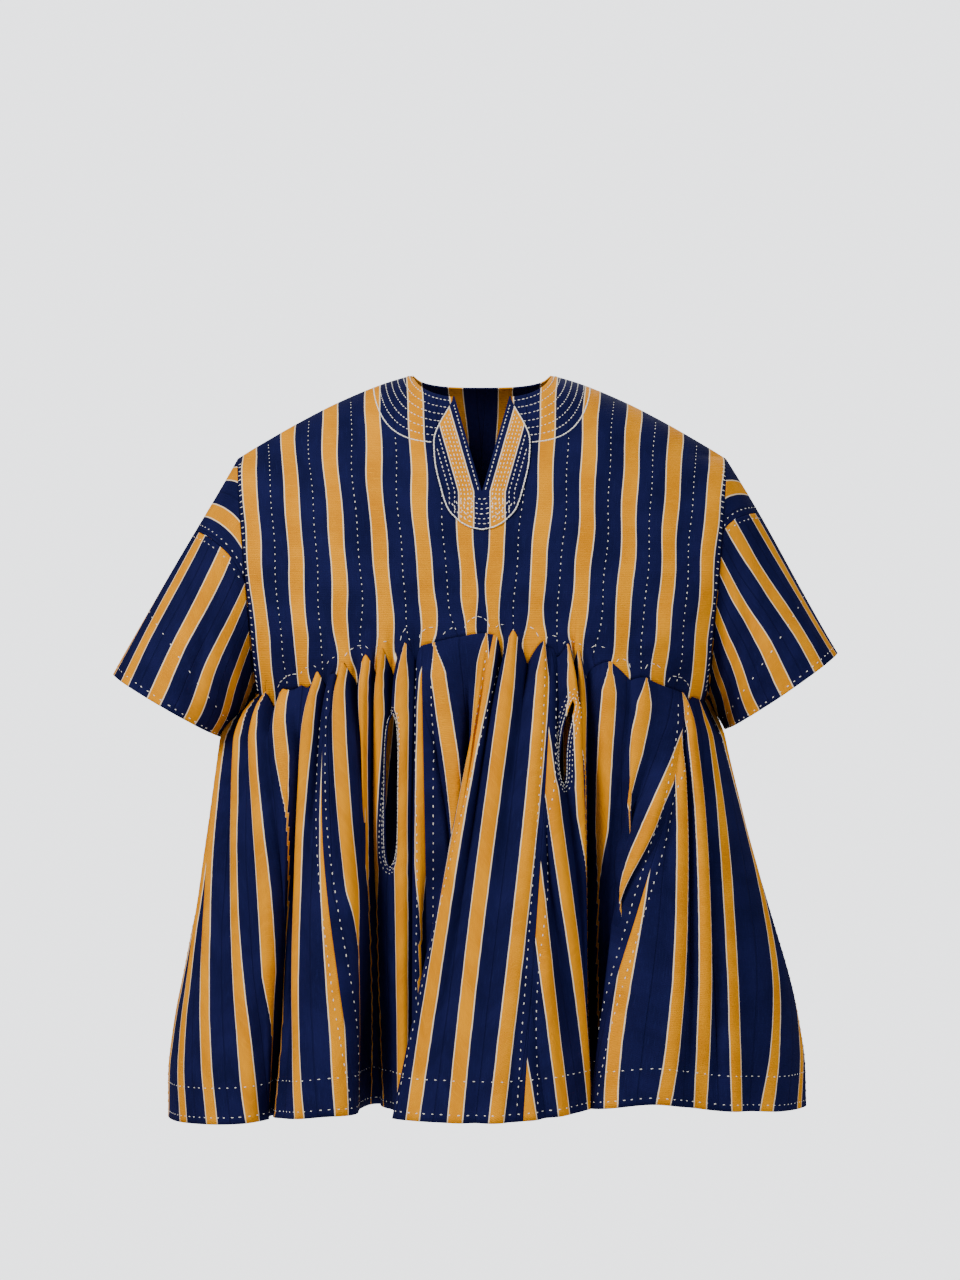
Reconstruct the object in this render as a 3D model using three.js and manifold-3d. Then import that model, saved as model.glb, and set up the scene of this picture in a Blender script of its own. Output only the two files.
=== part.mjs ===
// A West African fugu smock, worn: a boxy yoke with a slit neck, two short wide sleeves set on shoulder caps,
// and a flared skirt gathered into an arched seam. Every piece of cloth is a thin closed wall.
// Millimetres. +X is the wearer's left, -Y is the front, +Z is up. The origin is between the shoulders,
// level with the underside of the shoulder line where the wearer's neck comes through.
import * as THREE from "three";
import { mergeVertices } from "three/addons/utils/BufferGeometryUtils.js";
import Module from "manifold-3d";

const wasm = await Module();
wasm.setup();

// ---- Driving dimensions ---------------------------------------------------------------------
const CLOTH = 2; // wall of the woven strip cloth
const PLACKET_CLOTH = 1.4; // wall of the stitched placket
const SEAM_GAP = 0.3; // between two pieces that are sewn together
const LAYER_GAP = 0.4; // between the yoke and the placket that lies on it

const SHOULDER = { top: 4, flatTo: 60, fall: 0.0541, power: 1.4, edge: 262 };
const NECK = { half: 74, frontDrop: 31, backDrop: 12, power: 3, slitHalf: 29, slitBottom: -128 };
const ARMHOLE = { centreZ: -216, halfHeight: 128.8, halfDepth: 95 };
const YOKE = { frontDepth: 146, backDepth: 125, frontRound: 90, backRound: 75, cornerPower: 3 };
const WAIST = { half: 240, centreFrontZ: -276, centreBackZ: -292, sideZ: -350, archPower: 1.3 };
// Half widths of the yoke at its side edge, by height: straight down the armhole, then down the side seam.
const YOKE_EDGE = [
  { z: -87.2, half: 262 },
  { z: -262, half: 245 },
  { z: -350, half: 240 },
];
const PLACKET_OUTLINE = [
  { z: -30, half: 31 },
  { z: -76, half: 51 },
  { z: -94, half: 50 },
  { z: -124, half: 43.5 },
  { z: -145, half: 36.5 },
  { z: -158, half: 25 },
  { z: -165, half: 13 },
  { z: -168, half: 0 },
];
const PLEAT = { perSide: 26, depth: 5.2, seamShare: 0.3, fullAt: 0.06, goneAt: 0.55 };
// capShare is the shoulder cap's part of the way to the cuff, capReach how many degrees it runs round the arm.
const SLEEVES = [
  { name: "right", side: -1, outer: [397, -320], inner: [279, -388], capShare: 0.34, capReach: 92 },
  { name: "left", side: 1, outer: [383, -297], inner: [263, -379], capShare: 0.29, capReach: 68 },
];
const CUFF_DEPTH = 92;
const UNDERARM_EASE = 3.4; // keeps the sleeve's underside off the side of the yoke
const SLEEVE_SWELL = 0.5;
const POCKETS = [
  { name: "right", x: -93, topZ: -360, bottomZ: -519, width: 14, lean: 3 },
  { name: "left", x: 89, topZ: -346, bottomZ: -432, width: 7, lean: 4 },
];

// How far the skirt swells out between its waist and its hem, by its share of the way down.
const SWELL = [
  { down: 0, right: 0, left: 0, front: 0, back: 0 },
  { down: 0.04, right: 14, left: 3, front: 6, back: 6 },
  { down: 0.1, right: 24, left: 8, front: 10, back: 10 },
  { down: 0.3, right: 20, left: 9, front: 12, back: 12 },
  { down: 0.5, right: 17, left: 13, front: 8, back: 10 },
  { down: 0.7, right: 17, left: 17, front: 3, back: 7 },
  { down: 0.85, right: 13, left: 13, front: 0, back: 3 },
  { down: 1, right: 0, left: 0, front: 0, back: 0 },
];
const HEM_FRONT = [
  { x: -338, z: -796 },
  { x: -230, z: -787 },
  { x: -150, z: -776 },
  { x: 0, z: -777 },
  { x: 113, z: -770 },
  { x: 175, z: -763 },
  { x: 240, z: -773 },
  { x: 349, z: -784 },
];
const HEM_BACK = [
  { x: -338, z: -796 },
  { x: -200, z: -786 },
  { x: 0, z: -780 },
  { x: 200, z: -776 },
  { x: 349, z: -784 },
];

// The folds of the skirt, a row for each ridge, valley or turn, going round from the wearer's right side seam over
// the front to the left side seam and home over the back. waist is the place along X on the waist seam, x and y
// the place at the hem.
const FRONT_FOLDS = [
  { waist: -240, x: -338, y: 0 },
  { waist: -236, x: -324, y: -64 },
  { waist: -226, x: -290, y: -112 },
  { waist: -206, x: -252, y: -134 },
  { waist: -182, x: -226, y: -116 },
  { waist: -170, x: -222, y: -84 },
  { waist: -160, x: -213, y: -120 },
  { waist: -146, x: -186, y: -168 },
  { waist: -130, x: -152, y: -178 },
  { waist: -118, x: -132, y: -158 },
  { waist: -111, x: -128, y: -106 },
  { waist: -105, x: -114, y: -64 },
  { waist: -98, x: -98, y: -104 },
  { waist: -82, x: -82, y: -142 },
  { waist: -42, x: -58, y: -146 },
  { waist: -4, x: -44, y: -160 },
  { waist: 4, x: -62, y: -176 },
  { waist: 12, x: -92, y: -190 },
  { waist: 26, x: -64, y: -214 },
  { waist: 48, x: -12, y: -228 },
  { waist: 71, x: 42, y: -222 },
  { waist: 84, x: 86, y: -198 },
  { waist: 93, x: 112, y: -158 },
  { waist: 98, x: 108, y: -108 },
  { waist: 103, x: 116, y: -62 },
  { waist: 110, x: 131, y: -96 },
  { waist: 126, x: 144, y: -124 },
  { waist: 148, x: 150, y: -138 },
  { waist: 154, x: 134, y: -146 },
  { waist: 160, x: 113, y: -160 },
  { waist: 172, x: 148, y: -186 },
  { waist: 188, x: 196, y: -180 },
  { waist: 202, x: 226, y: -154 },
  { waist: 211, x: 256, y: -146 },
  { waist: 221, x: 284, y: -118 },
  { waist: 229, x: 312, y: -100 },
  { waist: 236, x: 338, y: -52 },
];
const BACK_FOLDS = [
  { waist: 240, x: 349, y: 0 },
  { waist: 235, x: 332, y: 62 },
  { waist: 224, x: 298, y: 116 },
  { waist: 206, x: 262, y: 140 },
  { waist: 190, x: 236, y: 118 },
  { waist: 180, x: 231, y: 82 },
  { waist: 170, x: 219, y: 120 },
  { waist: 152, x: 186, y: 168 },
  { waist: 126, x: 142, y: 178 },
  { waist: 110, x: 116, y: 152 },
  { waist: 102, x: 112, y: 110 },
  { waist: 95, x: 98, y: 88 },
  { waist: 87, x: 82, y: 112 },
  { waist: 68, x: 56, y: 176 },
  { waist: 38, x: 14, y: 198 },
  { waist: 8, x: -30, y: 186 },
  { waist: -6, x: -52, y: 150 },
  { waist: -13, x: -54, y: 108 },
  { waist: -20, x: -68, y: 88 },
  { waist: -29, x: -84, y: 114 },
  { waist: -50, x: -114, y: 168 },
  { waist: -86, x: -158, y: 184 },
  { waist: -118, x: -192, y: 160 },
  { waist: -128, x: -198, y: 118 },
  { waist: -136, x: -210, y: 98 },
  { waist: -146, x: -226, y: 116 },
  { waist: -166, x: -252, y: 144 },
  { waist: -196, x: -292, y: 118 },
  { waist: -228, x: -328, y: 62 },
];
// The skirt's gores, each named with the seam it starts from: its place along X on the waist seam, and the row of
// the fold table that the seam has reached at the hem.
const FRONT_GORES = [
  { name: "skirt_front_side_right", waist: -240, hemRow: 0 },
  { name: "skirt_front_pocket_right", waist: -158, hemRow: 9 },
  { name: "skirt_front_inner_right", waist: -62, hemRow: 14 },
  { name: "skirt_front_centre", waist: 12, hemRow: 17 },
  { name: "skirt_front_pocket_left", waist: 72, hemRow: 20 },
  { name: "skirt_front_side_left", waist: 210, hemRow: 29 },
];
const BACK_GORES = [
  { name: "skirt_back_side_left", waist: 240, hemRow: 37 },
  { name: "skirt_back_left", waist: 118, hemRow: 44.5 },
  { name: "skirt_back_right", waist: -2, hemRow: 52.5 },
  { name: "skirt_back_side_right", waist: -112, hemRow: 58.5 },
];

// ---- Mesh fineness --------------------------------------------------------------------------
const SKIRT_ROWS = [0, 0.03, 0.08, 0.16, 0.26, 0.38, 0.51, 0.64, 0.76, 0.88, 1];
const COLUMNS_IN_PLEAT = 4;
// Where the yoke's columns stand along X at the shoulder.
const YOKE_COLUMNS_AT = [
  0, 17, 33, 47, 58, 66, 71, 74.5, 96, 122, 148, 173, 197, 219, 238, 252, 262,
];
const YOKE_ROWS = 12;
const SLEEVE_AROUND = 28;
const SLEEVE_ROWS = 6;
const CAP_AROUND = 18;
const CAP_ROWS = 3;

// ---- Small tools ----------------------------------------------------------------------------
const { lerp, clamp, smoothstep, euclideanModulo } = THREE.MathUtils;
const steps = (n) => Array.from({ length: n + 1 }, (_, i) => i / n);
const round = (share) => Math.sqrt(Math.max(0, 1 - share));

// A value read from a table whose rows rise or fall by their key.
function read(rows, key, field, at) {
  const rising = rows.at(-1)[key] > rows[0][key];
  const next = rows.findIndex((row) => (rising ? row[key] >= at : row[key] <= at));
  if (next === 0) return rows[0][field];
  if (next < 0) return rows.at(-1)[field];
  const [a, b] = [rows[next - 1], rows[next]];
  return lerp(a[field], b[field], (at - a[key]) / (b[key] - a[key]));
}

// The outward directions of a grid of points, grid[row][column], rows going down and columns going round
// from the wearer's right over the front to the left. flat(row, column) names an axis that the direction must
// not lean along, so that two sewn edges end in the same plane.
function outward(grid, ring, flat) {
  const rows = grid.length;
  const columns = grid[0].length;
  const at = (r, c) => grid[clamp(r, 0, rows - 1)][ring ? (c + columns) % columns : clamp(c, 0, columns - 1)];
  return grid.map((row, r) =>
    row.map((point, c) => {
      const down = at(r + 1, c).clone().sub(at(r - 1, c));
      const along = at(r, c + 1).clone().sub(at(r, c - 1));
      const out = down.cross(along);
      if (Math.abs(point.y) < 1) out.y = 0;
      const axis = flat(r, c);
      if (axis) out[axis] = 0;
      return out.normalize();
    }),
  );
}

// A closed wall made of a grid of points moved out and in along the outward directions.
function wall(grid, out, thickness, { ring = false, lift = 0 } = {}) {
  const rows = grid.length;
  const columns = grid[0].length;
  const layer = (by) => grid.flatMap((row, r) => row.map((p, c) => p.clone().addScaledVector(out[r][c], by)));
  const points = [...layer(lift + thickness / 2), ...layer(lift - thickness / 2)];
  const id = (side, r, c) => side * rows * columns + r * columns + (ring ? c % columns : c);
  const faces = [];
  const quad = (a, b, c, d) => faces.push(a, c, b, a, d, c);
  const spans = ring ? columns : columns - 1;
  for (let c = 0; c < spans; c++) {
    for (let r = 0; r < rows - 1; r++) {
      quad(id(0, r, c), id(0, r, c + 1), id(0, r + 1, c + 1), id(0, r + 1, c));
      quad(id(1, r, c + 1), id(1, r, c), id(1, r + 1, c), id(1, r + 1, c + 1));
    }
    quad(id(1, 0, c), id(1, 0, c + 1), id(0, 0, c + 1), id(0, 0, c));
    quad(id(0, rows - 1, c), id(0, rows - 1, c + 1), id(1, rows - 1, c + 1), id(1, rows - 1, c));
  }
  const last = columns - 1;
  for (let r = 0; r < rows - 1 && !ring; r++) {
    quad(id(0, r, 0), id(0, r + 1, 0), id(1, r + 1, 0), id(1, r, 0));
    quad(id(0, r, last), id(1, r, last), id(1, r + 1, last), id(0, r + 1, last));
  }
  return new THREE.BufferGeometry()
    .setAttribute("position", new THREE.Float32BufferAttribute(points.flatMap((p) => p.toArray()), 3))
    .setIndex(faces);
}

function solid(geometry) {
  const bare = geometry.clone();
  bare.deleteAttribute("normal");
  bare.deleteAttribute("uv");
  const merged = mergeVertices(bare, 1e-4);
  const vertProperties = new Float32Array(merged.attributes.position.array);
  const triVerts = new Uint32Array(merged.index.array);
  return new wasm.Manifold(new wasm.Mesh({ numProp: 3, vertProperties, triVerts }));
}

function geometryOf(made) {
  const mesh = made.getMesh();
  return new THREE.BufferGeometry()
    .setAttribute("position", new THREE.Float32BufferAttribute(mesh.vertProperties, 3))
    .setIndex([...mesh.triVerts]);
}

// A prism through the front of the garment, from an outline of [x, z] corners.
function throughFront(corners) {
  const shape = new THREE.Shape(corners.map(([x, z]) => new THREE.Vector2(x, z)));
  const prism = new THREE.ExtrudeGeometry(shape, { depth: 400, bevelEnabled: false });
  return solid(prism.rotateX(Math.PI / 2));
}

// ---- The yoke -------------------------------------------------------------------------------
const pastFlat = (x) => Math.max(Math.abs(x) - SHOULDER.flatTo, 0);
const ridge = (x) => SHOULDER.top - SHOULDER.fall * pastFlat(x) ** SHOULDER.power;
const edgeHalf = (z) => read(YOKE_EDGE, "z", "half", z);
const armholeDepth = (z) => ARMHOLE.halfDepth * round(((z - ARMHOLE.centreZ) / ARMHOLE.halfHeight) ** 2);
const slitTop = SHOULDER.top - NECK.frontDrop;
const slitHalf = (z) => (NECK.slitHalf * (z - NECK.slitBottom)) / (slitTop - NECK.slitBottom);
const yokeShares = YOKE_COLUMNS_AT.map((x) => x / SHOULDER.edge);

// How far the yoke stands off the plane of the shoulders at a place, on the front (-1) or the back (1).
function yokeDepth(x, z, face) {
  const full = face < 0 ? YOKE.frontDepth : YOKE.backDepth;
  const roundOver = face < 0 ? YOKE.frontRound : YOKE.backRound;
  const centre = full * Math.sqrt(1 - Math.exp(-Math.max(ridge(x) - z, 0) / roundOver));
  const edge = Math.min(armholeDepth(z), centre);
  return edge + (centre - edge) * round(clamp(Math.abs(x) / edgeHalf(z), 0, 1) ** YOKE.cornerPower);
}

// The height of the waist seam, straight between the yoke's columns so that yoke and skirt share one line.
function waistZ(x, face) {
  const centre = face < 0 ? WAIST.centreFrontZ : WAIST.centreBackZ;
  const seam = yokeShares.map((share) => ({ share, z: lerp(centre, WAIST.sideZ, share ** WAIST.archPower) }));
  return read(seam, "share", "z", Math.abs(x) / WAIST.half);
}

function neckZ(x, face) {
  const drop = face < 0 ? NECK.frontDrop : NECK.backDrop;
  const across = Math.abs(x) / NECK.half;
  return across < 1 ? SHOULDER.top - drop * round(across ** NECK.power) : ridge(x);
}

function yokePoint(share, down, face, side) {
  const topX = share * (SHOULDER.edge - SEAM_GAP / 2);
  const bottomZ = waistZ(WAIST.half * share, face) + SEAM_GAP / 2;
  const z = lerp(Math.min(neckZ(topX, face), ridge(topX)), bottomZ, down ** 1.8);
  const x = share * (edgeHalf(z) - SEAM_GAP / 2);
  return new THREE.Vector3(side * x, face * Math.max(yokeDepth(x, z, face), SEAM_GAP / 2), z);
}

function yokeGrid(face) {
  const near = yokeShares.slice(1).map((share) => [share, face]);
  const halves = [...near.reverse(), ...yokeShares.map((share) => [share, -face])];
  return steps(YOKE_ROWS).map((down) => halves.map(([share, side]) => yokePoint(share, down, face, side)));
}

function yokeOutward(grid) {
  const flat = (r, c) => {
    if (r === YOKE_ROWS) return "z";
    const edge = c === 0 || c === grid[0].length - 1;
    return edge && grid[r][c].z > ARMHOLE.centreZ - ARMHOLE.halfHeight ? "x" : null;
  };
  return outward(grid, false, flat);
}

// ---- Sleeves and shoulder caps --------------------------------------------------------------
// angle is 0 at the top of the shoulder and a quarter turn at the front.
function armholePoint(angle, side) {
  const z = ARMHOLE.centreZ + ARMHOLE.halfHeight * Math.cos(angle);
  const x = edgeHalf(z) + SEAM_GAP + UNDERARM_EASE * ((1 - Math.cos(angle)) / 2) ** 2;
  return new THREE.Vector3(side * x, -ARMHOLE.halfDepth * Math.sin(angle), z);
}

function sleevePoint({ side, outer, inner }, angle, along) {
  const under = (1 - Math.cos(angle)) / 2;
  const [cuffX, cuffZ] = [0, 1].map((axis) => lerp(outer[axis], inner[axis], under));
  const cuff = new THREE.Vector3(side * cuffX, -CUFF_DEPTH * Math.sin(angle), cuffZ);
  const swell = SLEEVE_SWELL * Math.sin(Math.PI * along) * (1 - under);
  const ease = new THREE.Vector3(side * swell * 0.86, 0, swell * 0.5);
  return armholePoint(angle, side).lerp(cuff, along).add(ease);
}

// Where the cap ends and the sleeve begins, as a share of the way to the cuff.
function capEnd({ capShare, capReach }, angle) {
  const turn = Math.min(1, THREE.MathUtils.radToDeg(Math.abs(angle)) / capReach);
  return capShare * Math.cos((Math.PI / 2) * turn);
}

function sleeveGrid(sleeve) {
  return steps(SLEEVE_ROWS).map((down) =>
    steps(SLEEVE_AROUND).slice(1).map((turn) => {
      const angle = sleeve.side * (turn * 2 - 1) * -Math.PI;
      return sleevePoint(sleeve, angle, lerp(capEnd(sleeve, angle) + 0.002, 1, down));
    }),
  );
}

function capGrid(sleeve) {
  return steps(CAP_ROWS).map((down) =>
    steps(CAP_AROUND).map((turn) => {
      const reach = THREE.MathUtils.degToRad(sleeve.capReach) * 0.93;
      const angle = sleeve.side * (1 - turn * 2) * reach;
      return sleevePoint(sleeve, angle, lerp(0, capEnd(sleeve, angle) - 0.002, down));
    }),
  );
}

// ---- The skirt ------------------------------------------------------------------------------
// The waist seam seen from above, once round from the right side seam over the front, with the distance run.
const waistRun = [-1, 1].flatMap((face) =>
  steps(300).slice(face < 0 ? 0 : 1).map((share) => {
    const x = face * WAIST.half * Math.cos(Math.PI * share);
    return { x, y: face * Math.max(yokeDepth(x, waistZ(x, face), face), 0), face, length: 0 };
  }),
);
waistRun.forEach((spot, i) => {
  const before = waistRun[i - 1] ?? spot;
  spot.length = before.length + Math.hypot(spot.x - before.x, spot.y - before.y);
});
const halfRun = (face) => waistRun.filter((spot) => spot.face === face);
const sideLength = halfRun(-1).at(-1).length;
const wholeLength = waistRun.at(-1).length;

const folds = [
  ...FRONT_FOLDS.map((fold) => ({ ...fold, length: read(halfRun(-1), "x", "length", fold.waist) })),
  ...BACK_FOLDS.map((fold) => ({ ...fold, length: read(halfRun(1), "x", "length", fold.waist) })),
];
// Each fold's mark on a dial that runs from 0 to 2 round the skirt, front then back, shared out half by the
// distance along the waist and half by the distance along the hem.
const turns = [...folds, { ...folds[0], length: wholeLength }];
const hemRun = [0];
for (const [i, fold] of folds.entries()) {
  hemRun.push(hemRun[i] + Math.hypot(turns[i + 1].x - fold.x, turns[i + 1].y - fold.y));
}
const [frontHem, wholeHem] = [hemRun[FRONT_FOLDS.length], hemRun.at(-1)];
const dial = turns.map(({ length }, i) => {
  if (i <= FRONT_FOLDS.length) return 0.5 * (length / sideLength) + 0.5 * (hemRun[i] / frontHem);
  const atWaist = (length - sideLength) / (wholeLength - sideLength);
  const atHem = (hemRun[i] - frontHem) / (wholeHem - frontHem);
  return 1 + 0.5 * atWaist + 0.5 * atHem;
});
const count = folds.length;
const spanAfter = (i) => dial[i + 1] - dial[i];
const slopes = folds.map((fold, i) => {
  const [before, after] = [folds[(i + count - 1) % count], folds[(i + 1) % count]];
  const [spanA, spanB] = [spanAfter((i + count - 1) % count), spanAfter(i)];
  const slope = (key) => (after[key] - before[key]) / (spanA + spanB);
  const rate = ((i ? fold.length : wholeLength) - before.length) / spanA;
  const next = ((i === count - 1 ? wholeLength : after.length) - fold.length) / spanB;
  return { x: slope("x"), y: slope("y"), length: (2 * rate * next) / (rate + next) };
});

// A value carried smoothly past the folds to any mark on the dial.
function carry(key, mark) {
  const i = Math.max(0, dial.findLastIndex((knot) => knot <= mark && knot < 2));
  const span = spanAfter(i);
  const t = (mark - dial[i]) / span;
  const [a, b] = [turns[i][key], turns[i + 1][key]];
  const [slopeA, slopeB] = [slopes[i][key], slopes[(i + 1) % count][key]];
  const hold = a * (1 + 2 * t) * (1 - t) ** 2 + b * t * t * (3 - 2 * t);
  return hold + span * t * (1 - t) * (slopeA * (1 - t) - slopeB * t);
}

const dialMarks = steps(4000).map((share) => ({ mark: 2 * share, length: carry("length", 2 * share) }));
const rowMark = (row) => lerp(dial[Math.floor(row)], dial[Math.min(Math.floor(row) + 1, count)], row % 1);
const waistMark = (x, face) => read(dialMarks, "length", "mark", read(halfRun(face), "x", "length", x));

function skirtPoint(anyMark, down, pleat = 0) {
  const mark = anyMark === 2 ? 2 : euclideanModulo(anyMark, 2);
  const face = mark < 1 ? -1 : 1;
  const length = carry("length", mark);
  const waist = { x: read(waistRun, "length", "x", length), y: read(waistRun, "length", "y", length) };
  const hem = { x: carry("x", mark), y: carry("y", mark) };
  const out = new THREE.Vector2(waist.x / WAIST.half ** 2, waist.y / YOKE.frontDepth ** 2).normalize();
  const swell =
    out.x ** 2 * read(SWELL, "down", waist.x < 0 ? "right" : "left", down) +
    out.y ** 2 * read(SWELL, "down", face < 0 ? "front" : "back", down);
  const x = lerp(waist.x, hem.x, down) + out.x * (swell + pleat);
  const y = lerp(waist.y, hem.y, down) + out.y * (swell + pleat);
  const hemZ = read(face < 0 ? HEM_FRONT : HEM_BACK, "x", "z", hem.x);
  return new THREE.Vector3(x, y, lerp(waistZ(waist.x, face) - SEAM_GAP / 2, hemZ, down));
}

// A gore's points and their outward directions, its two edges standing back from their seams by half a gap.
function goreCloth(gore, next, face) {
  const topMarks = [gore, next].map(({ waist }) => waistMark(waist, face));
  const hemMarks = [gore, next].map(({ hemRow }) => rowMark(hemRow));
  for (const [end, { waist }] of [gore, next].entries()) {
    if (Math.abs(waist) === WAIST.half) topMarks[end] = hemMarks[end];
  }
  const width = (marks) => marks[1] - marks[0];
  const pleats = Math.max(2, Math.round(PLEAT.perSide * 0.5 * (width(topMarks) + width(hemMarks))));
  const run = (carry("length", topMarks[1]) - carry("length", topMarks[0])) / pleats;
  const columns = pleats * COLUMNS_IN_PLEAT;
  const ends = SKIRT_ROWS.map((down) => [0, 1].map((end) => lerp(topMarks[end], hemMarks[end], down)));
  const grid = SKIRT_ROWS.map((down, r) => {
    const rise = lerp(PLEAT.seamShare, 1, smoothstep(down, 0, PLEAT.fullAt));
    const deep = Math.min(PLEAT.depth, 0.22 * run) * rise * (1 - smoothstep(down, PLEAT.fullAt, PLEAT.goneAt));
    return steps(columns).map((share) =>
      skirtPoint(lerp(...ends[r], share), down, deep * Math.sin(2 * Math.PI * pleats * share)),
    );
  });
  const out = outward(grid, false, (r) => (r === 0 ? "z" : null));
  for (const [end, column, way] of [[0, 0, 1], [1, columns, -1]]) {
    grid.forEach((row, r) => {
      const [mark, above] = [ends[r][end], ends[Math.max(r - 1, 0)][end]];
      const below = ends[Math.min(r + 1, grid.length - 1)][end];
      const [left, right] = [0.002, -0.002].map((step) => skirtPoint(mark + step, SKIRT_ROWS[r]));
      const along = left.sub(right).normalize();
      const down = skirtPoint(below, SKIRT_ROWS[Math.min(r + 1, grid.length - 1)]);
      const fall = down.sub(skirtPoint(above, SKIRT_ROWS[Math.max(r - 1, 0)]));
      const seamOut = fall.cross(along);
      if (r === 0) seamOut.z = 0;
      if (Math.abs(row[column].y) < 1) seamOut.y = 0;
      out[r][column].copy(seamOut.normalize());
      const across = seamOut.clone().cross(fall.set(0, 0, -1)).normalize();
      row[column].addScaledVector(across, (across.dot(along) > 0 ? way : -way) * (SEAM_GAP / 2));
    });
  }
  return { grid, out };
}

// ---- Assembly -------------------------------------------------------------------------------
const stripCloth = new THREE.MeshStandardMaterial({ color: 0x151a4d, roughness: 0.9, metalness: 0 });
const placketCloth = new THREE.MeshStandardMaterial({ color: 0x1b2050, roughness: 0.85, metalness: 0 });
const smock = new THREE.Group();

function add(name, geometry, material = stripCloth) {
  const mesh = new THREE.Mesh(geometry, material);
  mesh.name = name;
  smock.add(mesh);
}

const slitCorners = [[-slitHalf(40), 40], [0, NECK.slitBottom], [slitHalf(40), 40]];
const frontGrid = yokeGrid(-1);
const frontOut = yokeOutward(frontGrid);
add("yoke_front", geometryOf(solid(wall(frontGrid, frontOut, CLOTH)).subtract(throughFront(slitCorners))));
const backGrid = yokeGrid(1);
add("yoke_back", wall(backGrid, yokeOutward(backGrid), CLOTH));

const lift = CLOTH / 2 + LAYER_GAP + PLACKET_CLOTH / 2;
const rightEdge = PLACKET_OUTLINE.map(({ z, half }) => [-half, z]);
const leftEdge = PLACKET_OUTLINE.slice(0, -1).reverse().map(({ z, half }) => [half, z]);
const placket = solid(wall(frontGrid, frontOut, PLACKET_CLOTH, { lift }))
  .intersect(throughFront([...rightEdge, ...leftEdge]))
  .subtract(throughFront(slitCorners));
add("neck_placket", geometryOf(placket), placketCloth);

for (const sleeve of SLEEVES) {
  const seamRow = (r) => (r === 0 ? "x" : null);
  const tube = sleeveGrid(sleeve);
  add(`sleeve_${sleeve.name}`, wall(tube, outward(tube, true, () => null), CLOTH, { ring: true }));
  const cap = capGrid(sleeve);
  add(`shoulder_cap_${sleeve.name}`, wall(cap, outward(cap, false, seamRow), CLOTH));
}

// A long eye-shaped opening where a seam is left unsewn for the hand.
function pocketEye({ x, topZ, bottomZ, width, lean }) {
  const ring = steps(20).slice(1).map((share) => {
    const turn = 2 * Math.PI * share;
    const up = Math.sin(turn);
    const across = (width / 2) * Math.cos(turn) * round(up ** 4);
    return [x + across + lean * up, lerp(bottomZ, topZ, (1 + up) / 2)];
  });
  return throughFront(ring);
}

const eyes = {
  skirt_front_pocket_right: pocketEye(POCKETS[0]),
  skirt_front_pocket_left: pocketEye(POCKETS[1]),
};
for (const [gores, face] of [[FRONT_GORES, -1], [BACK_GORES, 1]]) {
  const end = { waist: -face * WAIST.half, hemRow: face < 0 ? FRONT_FOLDS.length : count };
  gores.forEach((gore, i) => {
    const { grid, out } = goreCloth(gore, gores[i + 1] ?? end, face);
    const geometry = wall(grid, out, CLOTH);
    add(gore.name, eyes[gore.name] ? geometryOf(solid(geometry).subtract(eyes[gore.name])) : geometry);
  });
}

export default smock;
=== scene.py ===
import math
import random

import bmesh
import bpy
import numpy as np
from mathutils import Matrix, Vector


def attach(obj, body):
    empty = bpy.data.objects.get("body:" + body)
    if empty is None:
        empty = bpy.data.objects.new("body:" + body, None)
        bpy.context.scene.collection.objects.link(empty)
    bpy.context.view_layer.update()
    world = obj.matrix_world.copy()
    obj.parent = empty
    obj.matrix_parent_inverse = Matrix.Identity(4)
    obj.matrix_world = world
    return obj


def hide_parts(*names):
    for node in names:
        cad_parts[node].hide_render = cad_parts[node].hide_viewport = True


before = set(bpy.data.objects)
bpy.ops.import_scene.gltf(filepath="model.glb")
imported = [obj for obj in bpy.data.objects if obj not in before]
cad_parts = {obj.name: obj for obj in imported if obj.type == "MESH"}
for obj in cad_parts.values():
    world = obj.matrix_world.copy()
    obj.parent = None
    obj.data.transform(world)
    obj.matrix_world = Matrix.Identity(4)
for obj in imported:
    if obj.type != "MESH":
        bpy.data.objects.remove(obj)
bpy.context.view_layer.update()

# The smock's sizes are in millimetres and its meshes in metres. +X is the wearer's left, -Y the front, +Z up.
MM = 0.001
FRONT, BACK = -1, 1

# ---- Camera, floor and light -----------------------------------------------
VIEW = {"distance": 4200.0, "x": -2.0, "z": -283.0, "lens": 109.375}
FLOOR = {"z": -1450.0, "radius": 2600.0}
LAMPS = [
    {"name": "key", "at": (-2.2, -2.3, 1.7), "size": 1.2, "power": 172.0, "tint": (1.0, 0.985, 0.96)},
    {"name": "fill", "at": (2.5, -2.2, 0.9), "size": 1.6, "power": 66.0, "tint": (0.96, 0.98, 1.0)},
    {"name": "rim", "at": (0.6, 2.6, 1.8), "size": 1.6, "power": 60.0, "tint": (0.95, 0.98, 1.0)},
]
ROOM = {"tint": (0.95, 0.965, 1.0, 1.0), "light": 0.2, "seen": 2.75}

# ---- The cut ---------------------------------------------------------------
CLOTH = 1.7
PLACKET_CLOTH = 1.2
LAYER_GAP = 0.35
STRIP = 45.0  # width of one woven strip, seam to seam
GOLD_HALF = 0.161  # half the gold band, in strips
EDGE_HALF = 0.186  # half the gold band with its cream edge threads

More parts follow.
